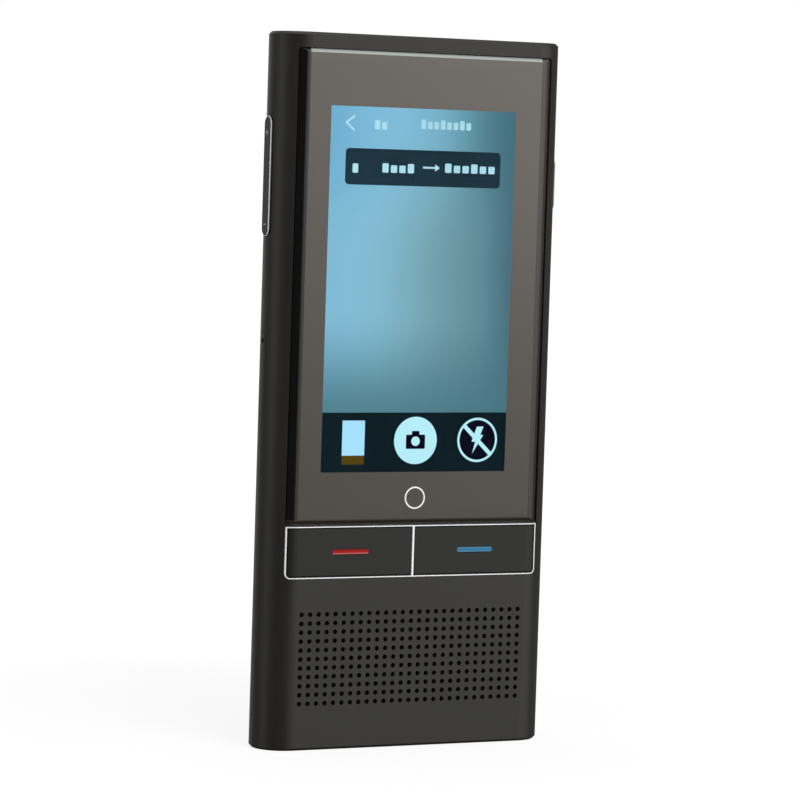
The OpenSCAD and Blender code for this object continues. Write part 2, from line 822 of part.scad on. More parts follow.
module middle_frame() {
    color([0.3, 0.31, 0.33])
        difference() {
            union() {
                intersection() {
                    round_sided(inner_x - plate_gap, inner_r - plate_gap, plate_bottom, plate_top);
                    box([-big, plate_front, 0], [big, plate_back, big]);
                }
                box([-rim_x, rim_front, rim_bottom], [rim_x, plate_front + eps, rim_top]);
                // Brackets behind the side keys' switches.
                for (s = [-1, 1])
                    on_side(s) {
                        len = s < 0 ? volume_len : power_len;
                        box([side_flex_in - side_bracket_t, plate_back - eps,
                             (s < 0 ? volume_z : power_z) - len / 2],
                            [side_flex_in, side_flex_w / 2,
                             (s < 0 ? volume_z : power_z) + len / 2]);
                    }
                // Posts for the main board's screws.
                for (p = board_screw_spots) rod_y(boss_d, p[0], p[1], plate_back - eps, board_front);
            }
            // Notches beside the plate that clear the side keys and their switches.
            for (s = [-1, 1])
                on_side(s) {
                    half = (s < 0 ? volume_len : power_len) / 2 + side_flange_lap + 0.6;
                    mid = s < 0 ? volume_z : power_z;
                    box([side_flex_in, plate_front, mid - half], [big, big, mid + half]);
                }
            // Pocket for the display module.
            box([-panel_x - pocket_gap, rim_front - eps, panel_bottom - pocket_gap],
                [panel_x + pocket_gap, pocket_back, panel_top + pocket_gap]);
            // Slot for the display's ribbon.
            box([-flex_x - 0.4, pocket_back - eps, flex_z1 - 1.6],
                [flex_x + 0.4, plate_back + eps, flex_z1 - 0.2]);
            // Holes for the frame's screws.
            for (s = [-1, 1])
                rod_y(screw_d + 0.2, s * frame_screw_x, frame_screw_z, plate_front - eps,
                      plate_back + eps);
            for (p = board_screw_spots) rod_y(screw_d, p[0], p[1], plate_front - eps, board_front + eps);
        }
}

// ---------- talk keys ----------

// Everything in the opening is trimmed by the body's own rounded surface, sunk by a depth.
module under_surface(sink) {
    intersection() {
        round_sided(body_w / 2 - sink, side_r - sink, 0, body_h);
        children();
    }
}

module key_frame() {
    low = opening_bottom + trim_gap;
    high = opening_bottom + key_frame_h;
    out_x = opening_x - trim_gap;
    color(silver)
        under_surface(0)
            difference() {
                from_front(front_y - eps, key_back - run_gap)
                    face_outline(-out_x, out_x, low, high, opening_low_r - trim_gap, 0);
                for (s = [-1, 1])
                    on_side(s)
                        from_front(front_y - 2 * eps, key_back)
                            key_window();
            }
}

// The window for the viewer's right key: its outer lower corner is rounded.
module key_window(gap = 0) {
    x0 = key_line / 2 + gap;
    x1 = opening_x - trim_gap - key_line - gap;
    z0 = opening_bottom + trim_gap + key_line + gap;
    z1 = opening_bottom + key_frame_h - key_line - gap;
    r = opening_low_r - trim_gap - key_line - gap;
    difference() {
        translate([x0, z0]) square([x1 - x0, z1 - z0]);
        difference() {
            translate([x1 - r, z0]) square(r);
            translate([x1 - r, z0 + r]) circle(r, $fn = 32);
        }
    }
}

module talk_key(s) {
    lap = key_flange_lap;
    on_side(s)
        difference() {
            union() {
                under_surface(key_sink)
                    from_front(key_front - eps, key_back) key_window(key_gap);
                from_front(key_back - eps, key_flange_back)
                    face_outline(key_inner_x - key_line / 2, key_outer_x + lap, key_low - lap,
                                 key_high + lap, opening_low_r, 0);
            }
            light_bar_body(key_front - eps, key_front + bar_t);
        }
}

// A bar with rounded corners, centred on the viewer's right key.
module light_bar_body(y0, y1) {
    soft_slab(key_mid_x - bar_w / 2, key_mid_x + bar_w / 2, key_mid_z - bar_h / 2,
              key_mid_z + bar_h / 2, bar_r, y0, y1);
}

module left_talk_key() { color(key_tint) talk_key(-1); }
module right_talk_key() { color(key_tint) talk_key(1); }
module red_light_bar() { color([0.85, 0.1, 0.12]) on_side(-1) light_bar_body(key_front, key_front + bar_t); }
module blue_light_bar() { color([0.1, 0.45, 0.9]) light_bar_body(key_front, key_front + bar_t); }

module key_board() {
    color(board_tint)
        box([-key_outer_x + 1, key_board_front, key_low + 0.3],
            [key_outer_x - 1, key_board_back, key_high - 0.3]);
}

module talk_switch(s) {
    w = talk_switch_w / 2;
    x = s * key_mid_x;
    color(steel)
        box([x - w, talk_switch_front, key_mid_z - w], [x + w, key_board_front, key_mid_z + w]);
    color(black)
        rod_y(talk_button_d, x, key_mid_z, talk_button_front, talk_switch_front + eps);
}

module left_talk_switch() { talk_switch(-1); }
module right_talk_switch() { talk_switch(1); }

// ---------- side keys ----------

// A key for the viewer's right side: a cap, a flange behind the wall and its press nubs.
module side_key_cap(len, z, nubs, nub_t) {
    rim = side_rim_w;
    pill_x(len - 2 * rim, side_key_w - 2 * rim, z, side_key_root - eps, side_out);
    pill_x(len + 2 * side_flange_lap, 2 * side_flange_y, z, side_flange_in, side_key_root);
    for (dz = nubs)
        translate([side_flange_in - nub_t, 0, z + dz])
            rotate([0, 90, 0]) cylinder(d = side_nub_d, h = nub_t + eps, $fn = 32);
}

module side_key_rim(len, z) {
    difference() {
        chamfered_pill_x(len, side_key_w, z, side_key_root, side_out, side_key_chamfer);
        pill_x(len - 2 * side_rim_w, side_key_w - 2 * side_rim_w, z,
               side_key_root - 1, side_out + 1);
    }
}

module side_switch(z) {
    color(steel)
        box([side_switch_in, -side_switch_w / 2, z - side_switch_h / 2],
            [side_switch_out, side_switch_w / 2, z + side_switch_h / 2]);
    color(black)
        translate([side_switch_out - eps, 0, z])
            rotate([0, 90, 0]) cylinder(d = side_button_d, h = side_button_t + eps, $fn = 32);
}

module side_flex(len, z) {
    color(flex_tint)
        box([side_flex_in, -side_flex_w / 2, z - len / 2 + 0.4],
            [side_switch_in, side_flex_w / 2, z + len / 2 - 0.4]);
}

volume_nubs = [-volume_switch_pitch, volume_switch_pitch];
module volume_key() {
    color(key_tint) on_side(-1) side_key_cap(volume_len, volume_z, volume_nubs, volume_nub_t);
}
module volume_key_rim() { color(silver) on_side(-1) side_key_rim(volume_len, volume_z); }
module volume_up_switch() { on_side(-1) side_switch(volume_z + volume_switch_pitch); }
module volume_down_switch() { on_side(-1) side_switch(volume_z - volume_switch_pitch); }
module volume_flex() { on_side(-1) side_flex(volume_len, volume_z); }
module power_key() { color(key_tint) side_key_cap(power_len, power_z, [0], power_nub_t); }
module power_key_rim() { color(silver) side_key_rim(power_len, power_z); }
module power_switch() { side_switch(power_z); }
module power_flex() { side_flex(power_len, power_z); }

// ---------- card tray ----------

sim_card_x = -side_face + sim_depth - 0.6;
module sim_card_space(gap) {
    box([sim_card_x - sim_card_w - gap, -sim_blade_t / 2 - eps, sim_z - sim_card_len / 2 - gap],
        [sim_card_x + gap, -sim_blade_t / 2 + sim_card_t + gap, sim_z + sim_card_len / 2 + gap]);
}

module sim_tray() {
    pin_z = sim_z + sim_face_len / 2 - sim_pin_inset;
    color(housing_tint)
        difference() {
            union() {
                intersection() {
                    pill_x(sim_face_len, sim_face_w, sim_z, -side_face, -inner_x + 0.3);
                    round_sided(body_w / 2, side_r, 0, body_h);
                }
                box([-inner_x, -sim_blade_t / 2, sim_z - sim_blade_h / 2],
                    [-side_face + sim_depth, sim_blade_t / 2, sim_z + sim_blade_h / 2]);
            }
            sim_card_space(0.05);
            translate([-side_face - 1, 0, pin_z])
                rotate([0, 90, 0]) cylinder(d = sim_pin_d, h = 2.6, $fn = 32);
        }
}

module sim_card() {
    color(gold)
        box([sim_card_x - sim_card_w, -sim_blade_t / 2, sim_z - sim_card_len / 2],
            [sim_card_x, -sim_blade_t / 2 + sim_card_t, sim_z + sim_card_len / 2]);
}

module sim_socket() {
    gap = run_gap;
    low_z = sim_z - sim_blade_h / 2 - gap;
    high_z = sim_z + sim_blade_h / 2 + gap;
    in_x = -side_face + sim_depth + gap;
    color(steel)
        difference() {
            box([-inner_x + 0.9, -sim_socket_t / 2, low_z - socket_sheet],
                [in_x + socket_sheet, sim_socket_t / 2, high_z + socket_sheet]);
            box([-inner_x, -sim_blade_t / 2 - gap, low_z], [in_x, sim_blade_t / 2 + gap, high_z]);
        }
}

// ---------- boards ----------

module main_board() {
    cut = camera_body_w / 2 + 0.3;
    color(board_tint)
        difference() {
            union() {
                box([-board_x, board_front, board_bottom], [board_x, board_back, board_top]);
                box([-board_x, board_front, strip_bottom],
                    [strip_w - board_x, board_back, board_bottom + eps]);
            }
            box([camera_x - cut, board_front - eps, camera_z - cut],
                [camera_x + cut, board_back + eps, camera_z + cut]);
            for (p = board_screw_spots) rod_y(screw_d + 0.2, p[0], p[1], board_front - eps, board_back + eps);
        }
}

// A slab on a board, given by its left and lower edges and its size.
module on_board(x, z, w, h, y0, y1) {
    box([x, y0, z], [x + w, y1, z + h]);
}

module processor_shield() {
    color(steel)
        on_board(processor_in - board_x, board_bottom + processor_rise, processor_w, processor_h,
                 board_back, board_back + shield_t);
}

module radio_shield() {
    color(steel)
        on_board(radio_in - board_x, board_bottom + radio_rise, radio_w, radio_h,
                 plate_back + plate_clear, board_front);
}

module board_connectors() {
    color([0.12, 0.12, 0.13]) {
        // For the display's ribbon.
        on_board(-flex_x + plug_inset, flex_z1 - 9.5, 2 * (flex_x - plug_inset), display_plug_h,
                 board_front - flex_clear, board_front);
        // For the ribbon between the boards.
        on_board(link_x0 - plug_inset, board_bottom + 2.0, link_x1 - link_x0 + 2 * plug_inset, plug_h,
                 board_back, board_back + plug_t);
        // For the battery's lead.
        on_board(3.0 - board_x, board_top - 11.0, battery_plug_w, plug_h, board_back,
                 board_back + battery_plug_t);
    }
}

module battery() {
    color([0.24, 0.25, 0.27])
        soft_slab(battery_x, battery_x + battery_w, battery_bottom, battery_bottom + battery_h,
                  1.2, battery_front, battery_back);
}

module battery_tape() {
    color([0.75, 0.74, 0.7])
        box([battery_x + 3, plate_back, battery_bottom + 4],
            [battery_x + battery_w - 3, battery_front, battery_bottom + battery_h - 4]);
}

// The ribbon between the two boards runs behind the battery.
module link_flex() {
    t = link_t;
    low_z = port_board_top - 4.5;
    step_z = port_board_top + 3.0;
    top_z = board_bottom + 4.5;
    run_y = battery_back + run_gap;
    plug_y = board_back + plug_t;
    color(flex_tint) {
        box([link_x0, port_board_back, low_z], [link_x1, port_board_back + t, step_z]);
        box([link_x0, port_board_back, step_z - t], [link_x1, run_y + t, step_z]);
        box([link_x0, run_y, step_z - t], [link_x1, run_y + t, top_z + t]);
        box([link_x0, plug_y, top_z], [link_x1, run_y + t, top_z + t]);
        box([link_x0, plug_y, board_bottom], [link_x1, plug_y + t, top_z + t]);
    }
}

// ---------- loudspeaker ----------

module speaker_outline(inset) {
    r = speaker_r - min(inset, speaker_r - 0.5);
    face_outline(-speaker_w / 2 + inset, speaker_w / 2 - inset, speaker_low + inset,
                 speaker_low + speaker_h - inset, r, r);
}

module speaker_mesh() {
    color(black)
        from_front(inner_front, mesh_back)
            face_outline(-grille_w / 2 - mesh_lap, grille_w / 2 + mesh_lap, speaker_low - 0.5,
                         speaker_low + speaker_h + 0.5, 0.5, 0.5);
}

module speaker_gasket() {
    color([0.15, 0.15, 0.15])
        difference() {
            from_front(mesh_back, gasket_back) speaker_outline(0);
            from_front(mesh_back - eps, gasket_back + eps) speaker_outline(speaker_wall);
        }
}

module speaker_frame() {
    color([0.13, 0.13, 0.14])
        difference() {
            from_front(gasket_back, speaker_back) speaker_outline(0);
            from_front(gasket_back - eps, speaker_back - speaker_wall) speaker_outline(speaker_wall);
        }
}

// A dished diaphragm with a round magnet cup behind it.
module speaker_cone() {
    y0 = gasket_back + cone_sink;
    y1 = y0 + cone_t;
    cup_back = speaker_back - speaker_wall;
    color([0.3, 0.3, 0.31]) {
        from_front(y0, y1) speaker_outline(speaker_wall);
        for (s = [-1, 1])
            difference() {
                rod_y(cup_d, s * cup_x, grille_z, y1 - eps, cup_back);
                rod_y(cup_d - 2 * cup_wall, s * cup_x, grille_z, y1 + cone_t, cup_back - cup_floor);
            }
    }
}

module speaker_chamber() {
    color([0.1, 0.1, 0.11])
        difference() {
            from_front(speaker_back, chamber_back) speaker_outline(chamber_inset);
            from_front(speaker_back - eps, chamber_back - chamber_floor)
                speaker_outline(chamber_inset + chamber_wall);
        }
}

// ---------- charging port, microphones, motor ----------

module port_board() {
    color(board_tint)
        difference() {
            box([-port_board_x, port_board_front, port_board_low],
                [port_board_x, port_board_back, port_board_top]);
            for (s = [-1, 1])
                rod_y(screw_d + 0.2, s * port_screw_x, port_screw_z, port_board_front - eps,
                      port_board_back + eps);
        }
}

module usb_c_shell() {
    color(steel)
        difference() {
            port_outline(0, port_front_z, port_front_z + port_len);
            port_outline(-port_sheet, port_front_z - eps, port_front_z + port_len - 0.6);
        }
}

module usb_c_tongue() {
    color(black)
        box([-3.3, -0.35, port_front_z + 0.9], [3.3, 0.35, port_front_z + port_len - 0.6]);
}

module lower_microphone() {
    color(gold)
        on_board(mic_x - mic_w / 2, port_board_low, mic_w, mic_h, port_board_front - mic_t,
                 port_board_front);
}

module upper_microphone() {
    color(gold)
        on_board(-mic_x - mic_w / 2, board_top - 0.1 - mic_h, mic_w, mic_h, board_front - mic_t,
                 board_front);
}

module vibration_motor() {
    color(steel) rod_y(motor_d, motor_x, motor_z, plate_back, plate_back + motor_t);
}

// ---------- rear camera ----------

module camera_module() {
    h = camera_body_w / 2;
    neck_y = inner_back - 1.2;
    color(black) {
        box([camera_x - h, board_front - 0.6, camera_z - h], [camera_x + h, neck_y, camera_z + h]);
        rod_y(camera_neck_d, camera_x, camera_z, neck_y - eps, inner_back - camera_gap);
    }
}

module camera_ring() {
    color(silver)
        difference() {
            rod_y(camera_ring_d - 0.1, camera_x, camera_z, inner_back - camera_gap, back_y);
            rod_y(camera_window_d - 1.0, camera_x, camera_z, inner_back - 1, back_y + eps);
            rod_y(camera_window_d, camera_x, camera_z, back_y - camera_seat, back_y + eps);
        }
}

module camera_window() {
    color([0.05, 0.05, 0.07])
        rod_y(camera_window_d - 0.08, camera_x, camera_z, back_y - camera_seat, back_y - 0.1);
}

module flash_light() {
    color([0.95, 0.9, 0.6])
        on_board(flash_x - flash_half, camera_z - flash_half, 2 * flash_half, 2 * flash_half,
                 board_back, inner_back - 0.3);
}

module flash_window() {
    color([0.93, 0.93, 0.9]) rod_y(flash_d - 0.08, flash_x, camera_z, inner_back - 0.25, back_y - 0.05);
}

// ---------- antennas and screws ----------

module upper_antenna() {
    color(flex_tint)
        on_board(upper_antenna_x, board_top - 5.4, upper_antenna_w, 5.8, inner_back - 0.35,
                 inner_back - 0.05);
}

module lower_antenna() {
    color(flex_tint)
        on_board(lower_antenna_x, port_board_low + 0.4, lower_antenna_w, 3.4, port_board_back,
                 port_board_back + 0.2);
}

// A screw along Y with its head at the back.
module screw(x, z, seat_y, reach) {
    difference() {
        union() {
            rod_y(screw_head_d, x, z, seat_y, seat_y + screw_head_t);
            rod_y(screw_d - 2 * screw_fit, x, z, seat_y - reach, seat_y + eps);
        }
        translate([x, seat_y + screw_head_t, z])
            rotate([90, 0, 0]) cylinder(d = screw_d * 0.7, h = 0.25, center = true, $fn = 6);
    }
}

module frame_screws() {
    color(steel)
        for (s = [-1, 1]) screw(s * frame_screw_x, frame_screw_z, plate_back, plate_t + 1.4);
}

module board_screws() {
    color(steel) {
        for (p = board_screw_spots) screw(p[0], p[1], board_back, board_t + 1.6);
        for (s = [-1, 1]) screw(s * port_screw_x, port_screw_z, port_board_back, board_t + 3);
    }
}

front_housing();
rear_cover();
cover_seal();
cover_glass();
glass_tape();
touch_sensor();
home_ring();
lcd_panel();
backlight();
display_tray();
display_flex();
middle_frame();
key_frame();
left_talk_key();
red_light_bar();
right_talk_key();
blue_light_bar();
key_board();
left_talk_switch();
right_talk_switch();
volume_key();
volume_key_rim();
volume_up_switch();
volume_down_switch();
volume_flex();
power_key();
power_key_rim();
power_switch();
power_flex();
sim_tray();
sim_card();
sim_socket();
main_board();
processor_shield();
radio_shield();
board_connectors();
battery();
battery_tape();
speaker_frame();
speaker_cone();
speaker_chamber();
speaker_gasket();
speaker_mesh();
port_board();
usb_c_shell();
usb_c_tongue();
lower_microphone();
upper_microphone();
vibration_motor();
camera_module();
camera_ring();
camera_window();
flash_light();
flash_window();
link_flex();
upper_antenna();
lower_antenna();
frame_screws();
board_screws();
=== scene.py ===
"""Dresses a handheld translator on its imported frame: casing, glass, display, keys, small parts."""

import math

import bpy
import numpy as np
from bpy.props import FloatProperty, FloatVectorProperty, IntProperty, PointerProperty
from mathutils import Matrix, Vector


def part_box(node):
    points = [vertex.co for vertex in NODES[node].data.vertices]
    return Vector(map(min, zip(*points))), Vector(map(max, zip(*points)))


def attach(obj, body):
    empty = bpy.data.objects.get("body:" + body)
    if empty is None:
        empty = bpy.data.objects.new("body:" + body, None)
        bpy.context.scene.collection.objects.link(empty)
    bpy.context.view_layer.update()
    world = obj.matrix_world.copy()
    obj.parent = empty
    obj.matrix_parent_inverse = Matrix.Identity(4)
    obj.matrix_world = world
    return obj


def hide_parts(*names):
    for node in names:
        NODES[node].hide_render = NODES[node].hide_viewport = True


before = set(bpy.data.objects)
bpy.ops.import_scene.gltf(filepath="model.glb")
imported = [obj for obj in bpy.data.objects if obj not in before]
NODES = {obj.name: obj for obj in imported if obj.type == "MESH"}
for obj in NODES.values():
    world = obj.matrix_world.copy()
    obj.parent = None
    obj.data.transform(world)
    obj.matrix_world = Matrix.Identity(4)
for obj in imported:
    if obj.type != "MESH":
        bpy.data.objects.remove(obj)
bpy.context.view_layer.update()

bl_info = {
    "name": "Handheld Translator",
    "version": (1, 0, 0),
    "blender": (4, 5, 0),
    "location": "View3D > Sidebar > Translator",
    "description": "Builds the casing, glass, display and keys of a handheld translator",
    "category": "Object",
}

MM = 0.001
GLASS_LOW, GLASS_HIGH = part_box("cover_glass")
FRONT_Y = GLASS_LOW[1]
GLASS_BACK_Y = GLASS_HIGH[1]
# The glass stops this far in front of the CAD glass's back, which leaves room for the picture.
PICTURE_DEPTH = 0.00015


# ---------- settings ----------


def colour(name, description, default):
    """A colour setting, given as it looks on screen, from 0 to 1."""
    return FloatVectorProperty(
        name=name, description=description, default=default, subtype="COLOR", size=3,
        min=0.0, max=1.0,
    )


def length(name, description, default):
    """A length setting in metres."""
    return FloatProperty(
        name=name, description=description, default=default, unit="LENGTH", precision=5
    )


class CasingSettings(bpy.types.PropertyGroup):
    body: colour("Body", "Satin dark grey of the casing", (0.116, 0.110, 0.092))
    grain: length("Grain", "Size of the fine grain in the casing's coat", 0.00022)
    # Polished silver trim; its near-white colour also paints its highlight.
    trim: colour("Trim", "Polished key frame and rims", (0.93, 0.93, 0.94))
    keys: colour("Keys", "Satin dark grey of the keys", (0.084, 0.085, 0.066))
    rim_bright: length("Bright cut", "Distance from the middle to the rims' bright cut", 0.02991)
    side_bend: length("Side bend", "Radius of the casing's rounded sides", 0.00585)


class GlassSettings(bpy.types.PropertyGroup):
    # Painted shade: the ink runs from the top colour down to a darker foot colour.
    ink_top: colour("Ink, top", "Grey ink at the glass's upper end", (0.318, 0.297, 0.272))
    ink_low_shaded: colour("Ink, foot", "Grey ink at the glass's lower end", (0.224, 0.205, 0.173))
    # Painted shade: black under the left curved edge, and a darker share of the ink under the right
    # and lower edges.
    edge: colour("Edge", "Black ink under the left curved edge", (0.03, 0.03, 0.028))
    edge_shade_share: FloatProperty(
        name="Far edges", default=0.38,
        description="Share of the ink's tone under the right and lower edges",
    )
    # Painted highlight: a pale band along the top edge of the glass.
    bevel: colour("Bevel", "Pale ground edge along the top of the glass", (0.60, 0.62, 0.60))
    window_left: length("Window left", "Place of the clear window's left edge", -0.01975)
    window_right: length("Window right", "Place of the clear window's right edge", 0.01885)
    window_low: length("Window low", "Height of the window's lower edge", 0.05233)
    window_high: length("Window high", "Height of the window's upper edge", 0.12076)
    side_run: length("Side curve", "Width of the curved edge along each side", 0.0022)
    side_drop: length("Side drop", "Drop of the curved edge along each side", 0.00095)
    top_run: length("Top curve", "Width of the curved edge at the top", 0.00085)
    low_run: length("Low curve", "Width of the curved edge at the bottom", 0.00115)
    end_drop: length("End drop", "Drop of the curved edge at the top and bottom", 0.00045)
    corner: length("Corner", "Radius of the glass's upper corners", 0.00042)
    arc_steps: IntProperty(
        name="Arc steps", description="Rows along each curved edge", default=14, min=4
    )


class DisplaySettings(bpy.types.PropertyGroup):
    bar: colour("Dark bar", "Dark bar below the screen's head line", (0.100, 0.190, 0.230))
    foot: colour("Foot band", "Dark band across the foot of the screen", (0.042, 0.108, 0.132))
    mark: colour("Signs", "Light signs on the screen", (0.72, 0.935, 0.98))
    word: colour("Words", "Plain blocks that stand for words", (0.68, 0.875, 0.94))


class LightBarSettings(bpy.types.PropertyGroup):
    red: colour("Red", "Red light bar", (0.575, 0.075, 0.055))
    # Painted highlight: a light line on the red bar's lower edge.
    red_edge_highlight: colour("Red edge", "Light line on the red bar's lower edge", (0.66, 0.36, 0.37))
    blue: colour("Blue", "Blue light bar", (0.15, 0.42, 0.585))
    # Painted highlight: light lines on the blue bar's edges.
    blue_edge_highlight: colour("Blue edge", "Light line on the blue bar's edges", (0.30, 0.47, 0.56))
    glow: FloatProperty(
        name="Glow", description="How much light the bars give off", default=0.12, min=0.0
    )


class StageSettings(bpy.types.PropertyGroup):
    lens: FloatProperty(
        name="Lens", description="Focal length on a 36 mm sensor", default=162.37
    )
    roll: FloatProperty(
        name="Roll", description="Turn of the camera about its view",
        default=math.radians(1.815), subtype="ANGLE",
    )
    place: FloatVectorProperty(
        name="Camera", description="Place of the camera", default=(-0.29848, -0.6169, 0.11006),
        unit="LENGTH", size=3,
    )
    aim: FloatVectorProperty(
        name="Aim", description="Direction of the view", default=(0.4335, 0.8988, -0.0649),
        subtype="DIRECTION", size=3,
    )
    ambient: FloatProperty(
        name="Ambient", description="Even light from all round", default=0.60, min=0.0
    )
    lamp: FloatProperty(
        name="Lamp", description="Power of the top front lamp", default=2.0, min=0.0
    )


SETTINGS = {
    "translator_casing": CasingSettings,
    "translator_glass": GlassSettings,
    "translator_display": DisplaySettings,
    "translator_lights": LightBarSettings,
    "translator_stage": StageSettings,
}


# ---------- surfaces ----------


def new_piece(name, points, faces, materials, face_slots=None, body="device", smooth=True):
    """A mesh object from an array of points (metres) and a list of faces, riding on a body."""
    mesh = bpy.data.meshes.new(name)
    mesh.from_pydata(np.asarray(points).tolist(), [], [list(f) for f in faces])
    for m in materials:
        mesh.materials.append(m)
    if face_slots is not None:
        mesh.polygons.foreach_set("material_index", np.asarray(face_slots, np.int32))
    mesh.polygons.foreach_set("use_smooth", np.full(len(mesh.polygons), smooth))
    mesh.update()
    piece = bpy.data.objects.new(name, mesh)
    bpy.context.scene.collection.objects.link(piece)
    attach(piece, body)
    return piece


def grid_quads(rows, columns, close_columns=False, first=0):
    """Quads of a grid whose point (i, j) has index first + i * columns + j."""
    i = np.arange(rows - 1)[:, None]
    j = np.arange(columns if close_columns else columns - 1)[None, :]
    k = (j + 1) % columns
    a, b = i * columns + j, i * columns + k
    c, d = (i + 1) * columns + k, (i + 1) * columns + j
    return np.stack([a, b, c, d], axis=-1).reshape(-1, 4) + first


def loop_quads(rows, columns):
    """Quads of a grid that closes both ways, such as a closed section carried round a loop."""
    here = np.arange(rows * columns).reshape(rows, columns)
    below = np.roll(here, -1, axis=0)
    quads = [here, np.roll(here, -1, axis=1), np.roll(below, -1, axis=1), below]
    return np.stack(quads, axis=-1).reshape(-1, 4)


def circle(steps):
    """Points of a circle of radius 1, against the clock: (cos t, sin t)."""
    t = np.linspace(0, 2 * math.pi, steps, endpoint=False)
    return np.stack([np.cos(t), np.sin(t)], axis=1)


def pill_outline(width, height, radius, steps):
    """A rounded rectangle: four arcs of one radius, one after the other, against the clock."""
    quarter = np.linspace(0, math.pi / 2, steps)
    angle = np.concatenate([quarter + k * math.pi / 2 for k in range(4)])
    centre = np.repeat(
        [[1, 1], [-1, 1], [-1, -1], [1, -1]], steps, axis=0
    ) * [width / 2 - radius, height / 2 - radius]
    return centre + radius * np.stack([np.cos(angle), np.sin(angle)], axis=1)


def loft_faces(rings, columns):
    """Faces of a loft of rings of points: quads between the rings, and a face at each end."""
    last = (rings - 1) * columns
    ends = [list(range(columns))[::-1], list(range(last, last + columns))]
    return grid_quads(rings, columns, close_columns=True).tolist() + ends


def capped_loft(outlines, depths):
    """A closed loft of outlines in X and Z, each at its own depth Y, from back to front."""
    rings = [np.insert(o, 1, y, axis=1) for o, y in zip(outlines, depths)]
    return np.concatenate(rings), loft_faces(len(rings), len(rings[0]))


def turned(profile, steps):
    """A closed profile of (radius, depth) turned about Y: x = r cos t, z = r sin t."""
    radius, depth = (column[:, None] for column in np.asarray(profile).T)
    cos, sin = circle(steps).T
    x, z = radius * cos, radius * sin
    return np.stack([x, np.broadcast_to(depth, x.shape), z], axis=-1).reshape(-1, 3)


def joined(parts):
    """Several pairs of points and faces as one pair."""
    base, faces = 0, []
    for points, own in parts:
        faces += [[base + k for k in face] for face in own]
        base += len(points)
    return np.concatenate([points for points, _ in parts]), faces


# ---------- nodes ----------


def linear(shown):
    """The linear colour of one given as it looks on screen: ((c + 0.055) / 1.055) to the 2.4."""
    c = np.asarray(shown[:3], float)
    low = c / 12.92
    high = ((c + 0.055) / 1.055) ** 2.4
    return (*np.where(c <= 0.04045, low, high).tolist(), 1.0)


def node(tree, kind, **values):
    """Adds a shader node and sets its properties, and its inputs by names that start in_."""
    made = tree.nodes.new(kind)
    for key, value in values.items():
        if key.startswith("in_"):
            entry = key[3:]
            made.inputs[int(entry) if entry.isdigit() else entry].default_value = value
        else:
            setattr(made, key, value)
    return made


def feed(entry, term):
    """Links a socket to an input, or sets the input to a plain value."""
    if isinstance(term, bpy.types.NodeSocket):
        entry.id_data.links.new(term, entry)
    else:
        entry.default_value = term


def wire(target, **terms):
    """Feeds a node's inputs by name, with _ for a space."""
    for key, term in terms.items():
        feed(target.inputs[key.replace("_", " ")], term)


def calc(tree, operation, *terms):
    """The output of a Math node whose terms are sockets or plain numbers."""
    made = node(tree, "ShaderNodeMath", operation=operation)
    for entry, term in zip(made.inputs, terms):
        feed(entry, term)
    return made.outputs[0]


def span(tree, value, start, end, low=0.0, high=1.0, kind="LINEAR"):
    """A value taken from between start and end to between low and high, and held there."""
    made = node(tree, "ShaderNodeMapRange", interpolation_type=kind,
                in_1=start, in_2=end, in_3=low, in_4=high)
    feed(made.inputs["Value"], value)
    return made.outputs[0]


def step(tree, value, start, end, low=0.0, high=1.0):
    """A smooth step of a value: low up to the start, high from the end."""
    return span(tree, value, start, end, low, high, "SMOOTHSTEP")


def blend(tree, factor, first, second, way="MIX"):
    """A mix of two colours, each a socket or an RGBA value."""
    made = node(tree, "ShaderNodeMix", data_type="RGBA", blend_type=way)
    for entry, term in ((0, factor), (6, first), (7, second)):
        feed(made.inputs[entry], term)
    return made.outputs[2]


def choose(tree, factor, first, second):
    """A mix of two numbers."""
    made = node(tree, "ShaderNodeMix", data_type="FLOAT")
    for entry, term in ((0, factor), (2, first), (3, second)):
        feed(made.inputs[entry], term)
    return made.outputs[0]


def scaled(tree, tone, factor):
    """A colour times a number."""
    made = node(tree, "ShaderNodeVectorMath", operation="SCALE")
    feed(made.inputs[0], tone)
    feed(made.inputs["Scale"], factor)
    return made.outputs[0]


def place_of(tree):
    """The Object coordinates, in metres."""
    return node(tree, "ShaderNodeTexCoord").outputs["Object"]


def axes_of(tree):
    """The X, Y and Z of the Object coordinates, by name."""
    split = node(tree, "ShaderNodeSeparateXYZ")
    feed(split.inputs[0], place_of(tree))
    return split.outputs


def noise(tree, scale, detail, roughness=0.5):
    """Noise over the Object coordinates, from 0 to 1 about 0.5."""
    made = node(tree, "ShaderNodeTexNoise", in_Detail=detail, in_Roughness=roughness)
    wire(made, Vector=place_of(tree), Scale=scale)
    return made.outputs["Fac"]


def ramp(tree, factor, stops, interpolation="LINEAR"):
    """A colour ramp with stops of (place, colour as shown)."""
    made = node(tree, "ShaderNodeValToRGB")
    made.color_ramp.interpolation = interpolation
    elements = made.color_ramp.elements
    while len(elements) < len(stops):
        elements.new(0.5)
    for element, (at, shown) in zip(elements, stops):
        element.position = at
        element.color = linear(shown)
    feed(made.inputs[0], factor)
    return made.outputs[0]


# ---------- node groups ----------


def open_group(name, inputs, outputs):
    """A new node group: inputs with their defaults, colours where these have four values, and
    outputs, of which Colour is a colour. Gives the group, its inputs and its output node."""
    group = bpy.data.node_groups.new(name, "ShaderNodeTree")
    kinds = {True: "NodeSocketColor", False: "NodeSocketFloat"}
    for key, default in inputs.items():
        group.interface.new_socket(
            name=key, in_out="INPUT", socket_type=kinds[isinstance(default, tuple)]
        ).default_value = default
    for key in outputs:
        group.interface.new_socket(
            name=key, in_out="OUTPUT", socket_type=kinds[key == "Colour"]
        )
    return group, node(group, "NodeGroupInput").outputs, node(group, "NodeGroupOutput")


